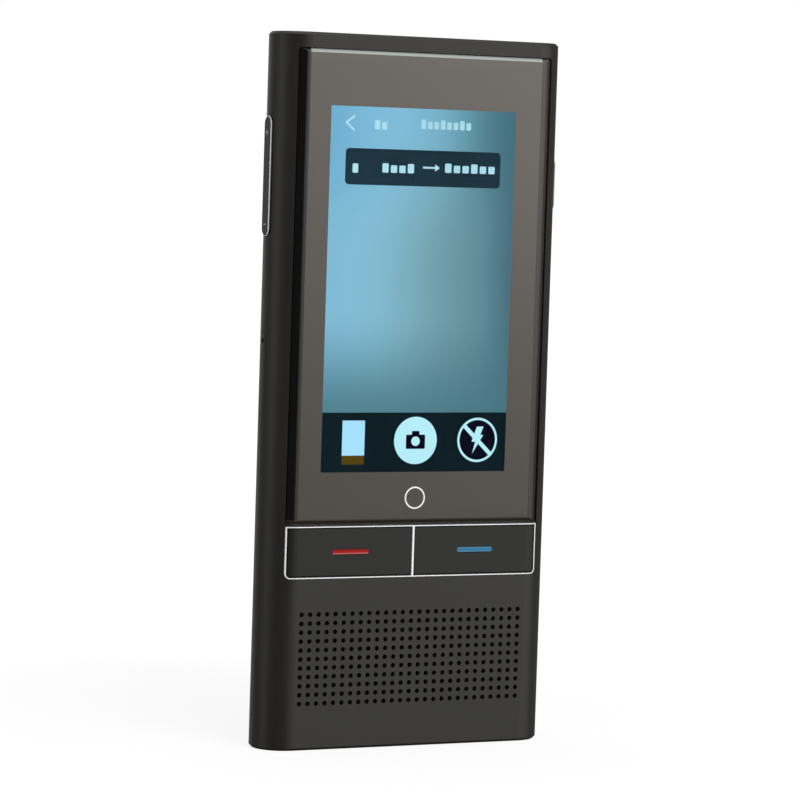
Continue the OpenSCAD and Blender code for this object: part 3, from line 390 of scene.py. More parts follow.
def periodic(group, distance, given):
    """sin(2 pi d / pitch)."""
    turns = calc(group, "MULTIPLY", distance, 2 * math.pi)
    return calc(group, "SINE", calc(group, "DIVIDE", turns, given["Pitch"]))


# Each pattern gives its base colour, its share of the mark colour, and its height.


def ruled_lines(group, given, axes):
    """Straight lines: the mark lies where sin(2 pi d / pitch) is above the share, with d the
    distance x cos(turn) + z sin(turn)."""
    along_x = calc(group, "MULTIPLY", axes["X"], calc(group, "COSINE", given["Turn"]))
    distance = calc(group, "MULTIPLY_ADD", axes["Z"], calc(group, "SINE", given["Turn"]), along_x)
    wave = calc(group, "SUBTRACT", periodic(group, distance, given), given["Share"])
    lines = step(group, wave, -0.12, 0.12)
    return given["Colour"], lines, lines


def plain_weave(group, given, axes):
    """Plain weave: threads across and along at one pitch, height (1 + sin kx sin kz) / 2."""
    waves = [periodic(group, axes[axis], given) for axis in ("X", "Z")]
    height = calc(group, "MULTIPLY_ADD", calc(group, "MULTIPLY", *waves), 0.5, 0.5)
    return given["Colour"], height, height


def turned_rings(group, given, axes):
    """Rings round a point: the mark lies where sin(2 pi r / pitch) is above the share."""
    across = calc(group, "SUBTRACT", axes["X"], given["Centre X"])
    up = calc(group, "SUBTRACT", axes["Z"], given["Centre Z"])
    square = calc(group, "ADD", calc(group, "MULTIPLY", across, across),
                  calc(group, "MULTIPLY", up, up))
    wave = periodic(group, calc(group, "SQRT", square), given)
    rings = step(group, calc(group, "SUBTRACT", wave, given["Share"]), -0.3, 0.3)
    return given["Colour"], rings, rings


def board_tracks(group, given, axes):
    """Circuit board: brick courses of fine tracks, and round plated holes from cell distances."""
    flat = node(group, "ShaderNodeCombineXYZ")
    wire(flat, X=axes["X"], Y=axes["Z"])
    black, white = (0, 0, 0, 1), (1, 1, 1, 1)
    tracks = node(group, "ShaderNodeTexBrick", in_Color1=black, in_Color2=black, in_Mortar=white)
    wire(tracks, Mortar_Size=0.045, Brick_Width=3.1, Row_Height=0.42)
    cells = node(group, "ShaderNodeTexVoronoi", in_Randomness=0.8)
    scale = calc(group, "DIVIDE", 1.0, given["Pitch"])
    for texture in (tracks, cells):
        wire(texture, Vector=flat.outputs[0], Scale=scale)
    holes = step(group, cells.outputs["Distance"], 0.16, 0.12)
    lines = tracks.outputs["Color"]
    board = blend(group, lines, given["Colour"], scaled(group, given["Colour"], 1.7))
    return board, holes, calc(group, "MAXIMUM", lines, holes)


def brushed_grain(group, given, axes):
    """Brushed or rolled metal: noise drawn out twelve times along the length."""
    drawn = node(group, "ShaderNodeCombineXYZ")
    wire(drawn, X=calc(group, "MULTIPLY", axes["X"], 0.08), Y=axes["Y"], Z=axes["Z"])
    grain = node(group, "ShaderNodeTexNoise", in_Detail=3.0)
    wire(grain, Vector=drawn.outputs[0], Scale=calc(group, "DIVIDE", 1.0, given["Pitch"]))
    height = grain.outputs["Fac"]
    return given["Colour"], step(group, height, 0.35, 0.7), height


PATTERNS = {
    "ruled_lines": (ruled_lines, {"Pitch": 0.001, "Turn": 0.0, "Share": 0.0}),
    "plain_weave": (plain_weave, {"Pitch": 0.0004}),
    "turned_rings": (
        turned_rings, {"Pitch": 0.001, "Share": 0.0, "Centre X": 0.0, "Centre Z": 0.0}
    ),
    "board_tracks": (board_tracks, {"Pitch": 0.001}),
    "brushed_grain": (brushed_grain, {"Pitch": 0.0005}),
}


def pattern_group(name):
    """The group of a pattern, built once. It puts out Colour and Height."""
    if name in bpy.data.node_groups:
        return bpy.data.node_groups[name]
    pattern, inputs = PATTERNS[name]
    grey = (0.5, 0.5, 0.5, 1)
    group, given, leave = open_group(
        name, {"Colour": grey, "Mark Colour": grey, **inputs}, ("Colour", "Height")
    )
    base, mark, height = pattern(group, given, axes_of(group))
    wire(leave, Colour=blend(group, mark, base, given["Mark Colour"]), Height=height)
    return group


def coat_grain_group():
    """Fine grain and soft handling marks of a painted or moulded surface.

    Height is a fine noise of one grain size. Colour is the base colour, a little lighter or darker
    over patches of a few millimetres. Roughness is the base roughness plus the same patches."""
    if "coat_grain" in bpy.data.node_groups:
        return bpy.data.node_groups["coat_grain"]
    group, given, leave = open_group(
        "coat_grain",
        {"Colour": (0.02, 0.02, 0.02, 1), "Grain Scale": 4000.0, "Patch Scale": 60.0,
         "Colour Spread": 0.08, "Roughness": 0.4, "Roughness Spread": 0.05},
        ("Colour", "Roughness", "Height"),
    )
    fine = noise(group, given["Grain Scale"], 2.0, 0.6)
    patch = noise(group, given["Patch Scale"], 3.0, 0.55)
    centred = calc(group, "SUBTRACT", patch, 0.5)
    gain = calc(group, "ADD", calc(group, "MULTIPLY", centred, given["Colour Spread"]), 1.0)
    rough = calc(group, "MULTIPLY_ADD", centred, given["Roughness Spread"], given["Roughness"])
    wire(leave, Colour=scaled(group, given["Colour"], gain), Roughness=rough, Height=fine)
    return group


# ---------- finishes ----------


def shader_of(material):
    """A material's node tree and its Principled BSDF."""
    tree = material.node_tree
    return tree, tree.nodes["Principled BSDF"]


def colour_source(shader):
    """The socket that feeds Base Color."""
    return shader.inputs["Base Color"].links[0].from_socket


def finish(name, **sockets):
    """A material with a Principled BSDF whose sockets take the given plain values."""
    material = bpy.data.materials.new(name)
    material.use_nodes = True
    _, shader = shader_of(material)
    for key, value in sockets.items():
        shader.inputs[key.replace("_", " ").title().replace("Ior", "IOR")].default_value = value
    return material


def raise_up(tree, shader, height, strength, depth):
    """Bends the shader's normal by a height."""
    bump = node(tree, "ShaderNodeBump", in_Strength=strength, in_Distance=depth)
    wire(bump, Height=height)
    wire(shader, Normal=bump.outputs["Normal"])


def patterned(name, pattern, shown, mark, roughness, bump=0.2, depth=0.00003, inputs=None,
              **sockets):
    """A finish whose colour and bump come from a pattern's group, from a base and a mark colour.
    Its roughness varies by 15% each way over patches of a few millimetres."""
    material = finish(name, roughness=roughness, **sockets)
    tree, shader = shader_of(material)
    group = node(tree, "ShaderNodeGroup", node_tree=pattern_group(pattern))
    colours = {"Colour": linear(shown), "Mark Colour": linear(mark)}
    for key, value in {**colours, **(inputs or {})}.items():
        group.inputs[key].default_value = value
    wear = step(tree, noise(tree, 180.0, 3.0), 0.3, 0.7, roughness * 0.85, roughness * 1.15)
    wire(shader, Roughness=wear, Base_Color=group.outputs["Colour"])
    raise_up(tree, shader, group.outputs["Height"], bump, depth)
    return material


def grained(name, shown, roughness, grain=0.00025, bump=0.06, colour_spread=0.12,
            patch_scale=60.0, roughness_spread=0.08, **sockets):
    """A finish whose colour, roughness and bump come from the grain group."""
    material = finish(name, **sockets)
    tree, shader = shader_of(material)
    group = node(tree, "ShaderNodeGroup", node_tree=coat_grain_group())
    wire(group, Colour=linear(shown), Grain_Scale=1.0 / grain, Patch_Scale=patch_scale,
         Colour_Spread=colour_spread, Roughness=roughness, Roughness_Spread=roughness_spread)
    wire(shader, Base_Color=group.outputs["Colour"], Roughness=group.outputs["Roughness"])
    raise_up(tree, shader, group.outputs["Height"], bump, 0.00002)
    return material


def dress(material, *names):
    """Gives CAD nodes a material."""
    for name in names:
        for slot in NODES[name].material_slots:
            slot.material = material


# ---------- stage ----------

# The camera's sensor in millimetres, and the nearest distance that it sees in metres.
SENSOR_WIDTH, NEAREST_SEEN = 36.0, 0.01
# Round soft lights that only gloss shows: the turn from the front towards the viewer's left, the
# rise above the horizon and the inner and outer angle, in degrees, and the amount.
SOFT_LIGHTS = (
    (-38, 5, 22, 37, 0.97),
    (-37, 23, 8, 34, 1.02),
    (92, 5, 8, 24, 1.0),
    (0, 78, 20, 50, 1.2),
    (160, 24, 15, 48, 0.36),
    (-120, 0, 20, 60, 0.12),
    (-168, 8, 16, 40, 0.33),
)
ROOM_LIGHT = 0.08
# The floor's rings of points, and its height, a hair below the device.
FLOOR_RADII = (0.0, 0.2, 0.6, 2.0, 6.0)
FLOOR_STEPS = 96
FLOOR_Z = -0.00002
# The floor's share of white to the camera: it rises from 0.8 to 1 between the two distances from
# the middle, which leaves the device its shadow.
FLOOR_WHITE = (0.05, 0.22, 0.80, 1.0)
FLOOR_TONES = (0.86, 0.89)
FLOOR_GLOW = 1.06
LAMP_PLACE = Vector((0.05, -0.48, 0.42))
LAMP_TARGET = Vector((0, 0, 0.08))
LAMP_SIZE = 0.35


class TRANSLATOR_OT_stage(bpy.types.Operator):
    """Sets up the camera, the pale floor, the lamp and the studio round the device"""

    bl_idname = "translator.stage"
    bl_label = "Stage"

    def execute(self, context):
        s = context.scene.translator_stage
        scene = context.scene
        scene.view_settings.view_transform = "Standard"
        self.camera(scene, s)
        self.studio(scene, s)
        self.floor(scene)
        self.lamp(scene, s)
        return {"FINISHED"}

    def camera(self, scene, s):
        """The view's axes are turned about the aim by the roll, which leans the device right."""
        aim = Vector(s.aim).normalized()
        level = aim.cross(Vector((0, 0, 1))).normalized()
        above = level.cross(aim)
        right = level * math.cos(s.roll) + above * math.sin(s.roll)
        up = above * math.cos(s.roll) - level * math.sin(s.roll)
        data = bpy.data.cameras.new("camera")
        data.lens = s.lens
        data.sensor_width = SENSOR_WIDTH
        data.clip_start = NEAREST_SEEN
        camera = bpy.data.objects.new("camera", data)
        turn = Matrix((right, up, -aim)).transposed().to_4x4()
        camera.matrix_world = Matrix.Translation(Vector(s.place)) @ turn
        scene.collection.objects.link(camera)
        scene.camera = camera

    def studio(self, scene, s):
        """The world is white to the camera and even to matt surfaces. To gloss it is a dim room
        with round soft lights."""
        world = bpy.data.worlds.new("studio")
        world.use_nodes = True
        scene.world = world
        tree = world.node_tree
        tree.nodes.clear()
        away = node(tree, "ShaderNodeVectorMath", operation="NORMALIZE")
        feed(away.inputs[0], node(tree, "ShaderNodeTexCoord").outputs["Generated"])
        room = ROOM_LIGHT
        for light in SOFT_LIGHTS:
            room = calc(tree, "ADD", self.soft_light(tree, away.outputs[0], *light), room)
        rays = node(tree, "ShaderNodeLightPath").outputs
        shiny = calc(tree, "MAXIMUM", rays["Is Glossy Ray"], rays["Is Transmission Ray"])
        unseen = choose(tree, shiny, s.ambient, room)
        glow = node(tree, "ShaderNodeBackground", in_Color=(1, 1, 1, 1))
        wire(glow, Strength=choose(tree, rays["Is Camera Ray"], unseen, 1.0))
        wire(node(tree, "ShaderNodeOutputWorld"), Surface=glow.outputs[0])

    def soft_light(self, tree, away, turn, rise, inner, outer, amount):
        """A smooth step of the cosine between the ray and the light's axis."""
        turn, rise, inner, outer = (math.radians(a) for a in (turn, rise, inner, outer))
        level = math.cos(rise)
        axis = (-math.sin(turn) * level, -math.cos(turn) * level, math.sin(rise))
        along = node(tree, "ShaderNodeVectorMath", operation="DOT_PRODUCT", in_1=axis)
        feed(along.inputs[0], away)
        return step(tree, along.outputs["Value"], math.cos(outer), math.cos(inner), 0.0, amount)

    def floor(self, scene):
        """A flat disc of pale board, white to the camera further out, with the device's soft
        shadow: rings of points (r cos t, r sin t)."""
        ring = circle(FLOOR_STEPS)
        points = np.concatenate([np.insert(r * ring, 2, FLOOR_Z, axis=1) for r in FLOOR_RADII])
        faces = grid_quads(len(FLOOR_RADII), FLOOR_STEPS, close_columns=True)
        mesh = bpy.data.meshes.new("floor")
        mesh.from_pydata(points.tolist(), [], faces.tolist())
        mesh.materials.append(self.pale_board())
        floor = bpy.data.objects.new("floor", mesh)
        floor.visible_glossy = False
        scene.collection.objects.link(floor)

    def pale_board(self):
        """Board whose tone varies a little. To the camera most of it glows white, and all of it
        does further out."""
        board = finish("pale_board", roughness=0.9, specular_ior_level=0.1)
        tree, shader = shader_of(board)
        wire(shader, Base_Color=span(tree, noise(tree, 40.0, 3.0), 0.0, 1.0, *FLOOR_TONES))
        reach = node(tree, "ShaderNodeVectorMath", operation="LENGTH")
        feed(reach.inputs[0], place_of(tree))
        white = step(tree, reach.outputs["Value"], *FLOOR_WHITE)
        seen = node(tree, "ShaderNodeLightPath").outputs["Is Camera Ray"]
        glow = node(tree, "ShaderNodeEmission", in_Strength=FLOOR_GLOW)
        mix = node(tree, "ShaderNodeMixShader")
        terms = (calc(tree, "MULTIPLY", seen, white), shader.outputs[0], glow.outputs[0])
        for entry, term in zip(mix.inputs, terms):
            feed(entry, term)
        wire(tree.nodes["Material Output"], Surface=mix.outputs[0])
        return board

    def lamp(self, scene, s):
        """A soft square lamp above and in front, aimed at the middle of the glass."""
        data = bpy.data.lights.new("top_front_lamp", "AREA")
        data.size = LAMP_SIZE
        data.energy = s.lamp
        lamp = bpy.data.objects.new("top_front_lamp", data)
        turn = (LAMP_TARGET - LAMP_PLACE).to_track_quat("-Z", "Y").to_matrix().to_4x4()
        lamp.matrix_world = Matrix.Translation(LAMP_PLACE) @ turn
        lamp.visible_glossy = False
        scene.collection.objects.link(lamp)


# ---------- casing and glass ----------


class TRANSLATOR_OT_casing(bpy.types.Operator):
    """Gives the casing, card tray and seal their satin coat and rubber"""

    bl_idname = "translator.casing"
    bl_label = "Casing"

    def execute(self, context):
        s = context.scene.translator_casing
        coat = grained("satin_coat", s.body, 0.42, grain=s.grain, bump=0.05, colour_spread=0.1)
        dress(coat, "front_housing", "rear_cover", "sim_tray")
        seal = grained("seal_rubber", (0.06, 0.06, 0.06), 0.75, bump=0.1)
        dress(seal, "cover_seal", "speaker_gasket")
        return {"FINISHED"}


# Columns of the glass between its curved sides, beside the window's two edges.
GLASS_COLUMNS = (-0.0222, -0.0132, -0.0066, 0, 0.0066, 0.0132, 0.0222)
# The clear window is wider at the back by this, so a slanting view meets no ink inside the glass.
WINDOW_SLACK = 0.0027
# The inks meet over this width at the sides and along the top's painted highlight, and at the foot.
CREASE = 0.00008
FOOT_CREASE = 0.00015
# Painted light: share of the ink's tone at the left and right end of the flat, darker on the left.
INK_LIGHT_LEAN = (0.90, 1.09)
# The home ring's line: its width, its dome's rise, and how far its foot lies under the glass.
RING_LINE, RING_RISE, RING_SUNK = 0.0003, 0.000008, 0.00001
RING_STEPS = 96


class TRANSLATOR_OT_glass(bpy.types.Operator):
    """Builds the cover glass with its curved edges, clear window and printed home ring"""

    bl_idname = "translator.glass"
    bl_label = "Cover glass"

    def execute(self, context):
        s = context.scene.translator_glass
        self.glass(s)
        self.ring()
        return {"FINISHED"}

    def glass(self, s):
        """Depth y(x, z) is the deeper of two section curves. Across, it is drop * (t / run)^3 with
        t the distance past the flat. Along the height it is an arc, y = R - sqrt(R^2 - t^2)."""
        half = GLASS_HIGH[0]
        low, high = GLASS_LOW[2], GLASS_HIGH[2]
        flat_x, flat_low, flat_high = half - s.side_run, low + s.low_run, high - s.top_run
        bend = np.sin(np.linspace(0, math.pi / 2, s.arc_steps))
        side = flat_x + s.side_run * bend
        flat = sorted((*GLASS_COLUMNS, s.window_left, s.window_right))
        xs = np.concatenate([-side[::-1], flat, side])
        zs = np.concatenate([
            low + s.low_run * (1 - bend[::-1]),
            np.linspace(flat_low, s.window_low, 5)[1:],
            np.linspace(s.window_low, s.window_high, 12)[1:],
            np.linspace(s.window_high, flat_high, 5)[1:-1],
            high - s.top_run * (1 - bend),
        ])

        def dip(past, run):
            radius = (run**2 + s.end_drop**2) / (2 * s.end_drop)
            return radius - np.sqrt(radius**2 - np.clip(past, 0, run) ** 2)

        x, z = np.meshgrid(xs, zs)
        # The outline narrows on an arc at the two upper corners.
        rise = np.clip(z - (high - s.corner), 0, s.corner)
        edge = half - s.corner + np.sqrt(s.corner**2 - rise**2)
        past = np.abs(x) - flat_x
        across = s.side_drop * (np.clip(past, 0, None) / s.side_run) ** 3
        upright = np.maximum(dip(z - flat_high, s.top_run), dip(flat_low - z, s.low_run))
        y = FRONT_Y + np.maximum(across, upright)
        pulled = flat_x + past * (edge - flat_x) / (half - flat_x)
        x = np.where(past > 0, np.sign(x) * pulled, x)

        back_y = GLASS_BACK_Y - PICTURE_DEPTH
        rows, columns = x.shape
        count = rows * columns
        sheets = [np.stack([x, depth, z], axis=-1) for depth in (y, np.full_like(y, back_y))]
        points = np.concatenate(sheets).reshape(-1, 3)
        i, j = np.arange(rows), np.arange(columns)
        rim = np.concatenate([
            j, i[1:] * columns + columns - 1,
            (rows - 1) * columns + j[::-1][1:], i[::-1][1:-1] * columns,
        ])
        after = np.roll(rim, -1)
        faces = np.concatenate([
            grid_quads(rows, columns),
            grid_quads(rows, columns, first=count)[:, ::-1],
            np.stack([rim, rim + count, after + count, after], axis=-1),
        ])
        centre = points[faces].mean(axis=1)
        slack = np.where(centre[:, 1] > back_y - 1e-6, WINDOW_SLACK, 0.0)
        clear = (
            (centre[:, 0] > s.window_left - slack)
            & (centre[:, 0] < s.window_right + slack)
            & (centre[:, 2] > s.window_low - slack)
            & (centre[:, 2] < s.window_high + slack)
        )
        finishes = [self.ink(s, flat_x, flat_low, flat_high), self.clear_glass()]
        piece = new_piece("front_glass", points, faces, finishes, clear)
        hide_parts("cover_glass")

    def ink(self, s, flat_x, flat_low, flat_high):
        """Glossy glass over ink: warm grey, with painted shade that darkens it towards the foot and
        the left and painted light towards the right. Past the creases the curved edges carry painted
        shade, black on the left and darker on the right and at the foot, and a painted highlight
        runs along the top edge. Masks are smooth steps of x, |x| and z."""
        material = grained("ink_behind_glass", s.ink_top, 0.05, grain=0.003, bump=0.0,
                           colour_spread=0.05, patch_scale=25.0, roughness_spread=0.04, ior=1.5)
        tree, shader = shader_of(material)
        axes = axes_of(tree)
        x, z = axes["X"], axes["Z"]
        # Painted shade and light: the tone darkens towards the foot and leans from darker on the
        # left to lighter on the right.
        foot = np.array(linear(s.ink_low_shaded)) / np.array(linear(s.ink_top))
        fade = step(tree, z, flat_high, flat_low)
        shade = blend(tree, fade, (1, 1, 1, 1), tuple(foot.tolist()))
        lean = span(tree, x, -flat_x, flat_x, *INK_LIGHT_LEAN)
        tone = blend(tree, 1.0, colour_source(shader), scaled(tree, shade, lean), "MULTIPLY")
        edge_shade = scaled(tree, tone, s.edge_shade_share)
        # Painted shade of the curved edges: black on the left, darker on the right and at the foot.
        for value, start, end, past in (
            (x, flat_x, flat_x + CREASE, edge_shade),
            (x, -flat_x, -flat_x - CREASE, linear(s.edge)),
            (z, flat_low, flat_low - FOOT_CREASE, edge_shade),
        ):
            tone = blend(tree, step(tree, value, start, end), tone, past)
        # Painted highlight: a pale band on the curved edge along the top.
        above = step(tree, z, flat_high + CREASE, flat_high + 2 * CREASE)
        within = step(tree, calc(tree, "ABSOLUTE", x), flat_x + CREASE, flat_x)
        bevel = calc(tree, "MULTIPLY", above, within)
        wire(shader, Base_Color=blend(tree, bevel, tone, linear(s.bevel)))
        return material

    def clear_glass(self):
        """Coated glass with little mirror glare, and a few faint smears in its roughness."""
        clear = finish("clear_window", roughness=0.02, ior=1.08, transmission_weight=1.0,
                       base_color=(0.97, 0.98, 0.98, 1))
        tree, shader = shader_of(clear)
        wire(shader, Roughness=span(tree, noise(tree, 45.0, 4.0), 0.5, 0.8, 0.01, 0.045))
        return clear

    def ring(self):
        """The ring's line is a low dome, height h = H * (1 - u^2) over its width, turned about
        Y."""
        low, high = np.array(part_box("home_ring"))
        half = RING_LINE / 2
        middle = (high[0] - low[0]) / 2 - half
        u = np.linspace(-1, 1, 7)
        profile = np.stack([middle + half * u, FRONT_Y - RING_RISE * (1 - u**2)], axis=1).tolist()
        profile += [(middle + half, FRONT_Y + RING_SUNK), (middle - half, FRONT_Y + RING_SUNK)]
        centre = (low + high) / 2
        points = turned(profile, RING_STEPS) + [centre[0], 0, centre[2]]
        faces = loop_quads(len(profile), RING_STEPS)[:, ::-1]
        paint = grained("ring_print", (0.93, 0.92, 0.89), 0.35, grain=0.0001, bump=0.02)
        piece = new_piece("home_ring_print", points, faces, [paint])
        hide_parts("home_ring")


# ---------- display ----------

# The backdrop's tones from left to right, as (place, colour as shown), for its top, middle, foot.
BACKDROP = (
    ((0.0, (0.42, 0.67, 0.81)), (0.3, (0.53, 0.77, 0.89)), (0.6, (0.47, 0.70, 0.79)),
     (0.82, (0.31, 0.50, 0.56)), (1.0, (0.25, 0.42, 0.48))),
    ((0.0, (0.50, 0.73, 0.84)), (0.28, (0.53, 0.76, 0.85)), (0.58, (0.46, 0.63, 0.67)),
     (0.85, (0.37, 0.55, 0.60)), (1.0, (0.28, 0.42, 0.48))),
    ((0.0, (0.32, 0.51, 0.57)), (0.5, (0.33, 0.51, 0.56)), (1.0, (0.27, 0.45, 0.50))),
)
# The backdrop's left and right end, and the heights between which its foot turns into its middle
# and its middle into its top.
BACKDROP_SIDES = (-0.0196, 0.0200)
FOOT_TO_MIDDLE = (0.062, 0.0835)
MIDDLE_TO_TOP = (0.094, 0.119)
# The picture's first level stands this far in front of the CAD glass's back, and each next one
# stands in front of the one before it by the second length.
PICTURE_START, PICTURE_LEVEL = 0.00005, 0.000012
# Height of the blocks that stand for words, in millimetres.
WORD_HEIGHT = 1.4


class TRANSLATOR_OT_display(bpy.types.Operator):
    """Builds the lit picture of the display: a soft backdrop with plain bars and generic signs"""

    bl_idname = "translator.display"
    bl_label = "Display picture"

    def execute(self, context):
        s = context.scene.translator_display
        tones = {
            "dark": self.glowing("screen_dark_bar", s.bar, 0.35),
            "light": self.glowing("screen_light_sign", s.mark, 0.04),
            "ink": self.glowing("screen_dark_sign", (0.03, 0.03, 0.10), 0.1),
            "brown": self.glowing("screen_brown_strip", (0.30, 0.235, 0.04), 0.5),
            "border": self.glowing("screen_border", (0.01, 0.01, 0.012), 0.0),
            "foot": self.glowing("screen_foot_band", s.foot, 0.35),
            "words": self.glowing("screen_words", s.word, 0.15),
            "thumbnail": self.glowing("screen_thumbnail", (0.655, 0.885, 0.99), 0.08),
        }
        tones = {"backdrop": self.backdrop(), **tones}
        self.names = list(tones)
        self.parts, self.slots = [], []
        self.lay_out()
        points, faces = joined(self.parts)
        piece = new_piece(
            "display_picture", points, faces, list(tones.values()), self.slots, smooth=False
        )
        return {"FINISHED"}

    def lit(self, name):
        """A screen's finish: light on a black base."""
        return finish(name, base_color=(0, 0, 0, 1), roughness=0.5, specular_ior_level=0.0,
                      emission_strength=1.0)

    def glowing(self, name, shown, spread):
        """A screen colour whose light varies a little over the screen."""
        material = self.lit(name)
        tree, shader = shader_of(material)
        gain = span(tree, noise(tree, 55.0, 1.0), 0.3, 0.7, 1 - spread / 2, 1 + spread / 2)
        wire(shader, Emission_Color=scaled(tree, linear(shown)[:3], gain))
        return material

    def backdrop(self):
        """The backdrop runs from light on the left to dark on the right, along three colour ramps
        for the top, middle and foot of the screen, mixed by height."""
        material = self.lit("screen_backdrop")
        tree, shader = shader_of(material)
        axes = axes_of(tree)
        across = span(tree, axes["X"], *BACKDROP_SIDES)
        sway = calc(tree, "MULTIPLY_ADD", noise(tree, 26.0, 1.0), 0.22, -0.11)
        u = calc(tree, "ADD", across, sway)
        top, middle, foot = (ramp(tree, u, stops, "B_SPLINE") for stops in BACKDROP)
        lower = blend(tree, step(tree, axes["Z"], *FOOT_TO_MIDDLE), foot, middle)
        upper = blend(tree, step(tree, axes["Z"], *MIDDLE_TO_TOP), lower, top)
        wire(shader, Emission_Color=upper)
        return material

    # Flat shapes, in millimetres. Each lies a hair in front of the one below it, by its level.

    def shape(self, outline, level, tone):
        """Adds a flat face with that outline, drawn against the clock."""
        y = GLASS_BACK_Y - PICTURE_START - PICTURE_LEVEL * level
        points = np.insert(np.asarray(outline, float) * MM, 1, y, axis=1)
        self.parts.append((points, [range(len(points))]))
        self.slots.append(self.names.index(tone))

    def block(self, x0, x1, z0, z1, level, tone):
        self.shape([(x0, z0), (x1, z0), (x1, z1), (x0, z1)], level, tone)

    def bar(self, x0, x1, z0, z1, radius, level, tone):
        """A block with rounded corners."""
        outline = pill_outline(x1 - x0, z1 - z0, radius, 6) + [(x0 + x1) / 2, (z0 + z1) / 2]
        self.shape(outline, level, tone)

    def disc(self, x, z, radius, level, tone, steps=56):
        self.shape([x, z] + radius * circle(steps), level, tone)

    def stroke(self, start, end, width, level, tone):
        """A straight line of one width with square ends."""
        start, end = np.array(start, float), np.array(end, float)
        along = (end - start) / np.linalg.norm(end - start)
        side = np.array([-along[1], along[0]]) * width / 2
        self.shape([start - side, end - side, end + side, start + side], level, tone)

    def word(self, x0, x1, z, count):
        """A row of plain rounded blocks in place of a word. Every third is taller."""
        pitch = (x1 - x0) / count
        low = z - WORD_HEIGHT / 2
        for k in range(count):
            high = low + WORD_HEIGHT * (1.25 if k % 3 == 0 else 1.0)
            left = x0 + k * pitch
            self.bar(left, left + 0.74 * pitch, low, high, 0.2, 3, "words")

    def lay_out(self):
        self.bar(-20.9, 20.6, 50.4, 122.6, 0.2, 0, "border")
        self.block(-20.3, 20.0, 52.0, 121.3, 1, "backdrop")
        # Head line: a back arrow, and blocks in place of words.
        self.stroke((-14.5, 119.0), (-16.3, 117.65), 0.42, 3, "words")
        self.stroke((-16.3, 117.85), (-14.5, 116.3), 0.42, 3, "words")
        self.word(-10.3, -7.4, 117.3, 2)
        self.word(-0.65, 10.15, 117.7, 8)
        # Dark bar with an arrow between blocks.
        self.bar(-16.15, 16.3, 106.2, 113.0, 0.8, 2, "dark")
        self.word(-14.65, -13.1, 109.1, 1)
        self.word(-8.5, -1.45, 109.3, 4)
        self.stroke((-0.05, 109.75), (2.8, 109.75), 0.36, 3, "words")
        self.shape([(2.5, 109.05), (3.5, 109.75), (2.5, 110.45)], 3, "words")
        self.word(4.6, 15.6, 109.6, 6)
        # Foot of the screen, with a thumbnail.
        self.block(-20.3, 20.0, 52.0, 63.5, 2, "foot")
        self.block(-15.1, -10.45, 55.4, 62.0, 3, "thumbnail")
        self.block(-15.1, -10.45, 53.7, 55.4, 3, "brown")
        # Camera sign.
        self.disc(0.2, 58.2, 4.5, 3, "light")
        self.bar(-1.8, 2.2, 56.6, 59.3, 0.25, 4, "ink")
        self.bar(-0.6, 1.0, 58.8, 60.0, 0.2, 4, "ink")
        self.disc(0.2, 58.05, 0.9, 5, "light", 32)
        # Sign for no flash.
        self.disc(13.3, 58.25, 4.25, 3, "light")
        self.disc(13.3, 58.25, 3.8, 4, "ink")
        self.stroke((10.45, 60.95), (16.05, 55.6), 0.8, 5, "light")
        self.shape([(12.05, 57.9), (12.85, 57.9), (12.25, 55.6), (14.55, 59.2), (13.9, 59.2),
                    (14.55, 60.8), (13.15, 60.8)], 5, "light")


# ---------- keys ----------

# The key frame's section, ring by ring: drawn in at the sides, at the foot and at the top, then
# its depth below the front, in millimetres, or None at the back. The last is the finish of the
# strip up to the next ring: 0 polished, 1 black, painted shade of the gaps beside the crown.
FRAME_SECTION = (
    (0, 0, 0, None, 0),
    (0, 0, 0, 0.10, 1),
    (0, 0, 0.13, 0.05, 0),
    (0.02, 0.01, 0.15, 0.012, 0),
    (0.05, 0.04, 0.18, 0, 0),
    (0.24, 0.16, 0.29, 0, 0),
    (0.27, 0.19, 0.32, 0.012, 0),
    (0.29, 0.21, 0.34, 0.05, 1),
    (0.42, 0.42, 0.42, 0.10, 1),
    (0.42, 0.42, 0.42, None, 1),
)
# Radius of the frame's two lower corners.
FRAME_CORNER = 0.00102
# Half the section of the bar between the keys: its half width and its depth below the front.
BAR_SECTION = [(0.21, None), (0.21, 0.06), (0.17, 0.012), (0.12, 0)]
# The bar stops this far inside the frame's foot and its top.
BAR_FOOT, BAR_TOP = 0.00020, 0.00030
# A side key's bright cut reaches this far each way from its middle and ends at the second
# distance. The black below it, painted shade of the gap, turns into the key's coat over this
# width each way.
CUT_HALF, CUT_END, CUT_TURN = 0.00006, 0.00008, 0.00002
# A light bar's rim rolls over by this width, its crown stands up by this height from a rim this
# far below the solid's front, and its end arcs have this share of half its height.
LENS_ROLL, LENS_CROWN, LENS_SUNK, LENS_END = 0.00035, 0.00004, 0.00002, 0.96


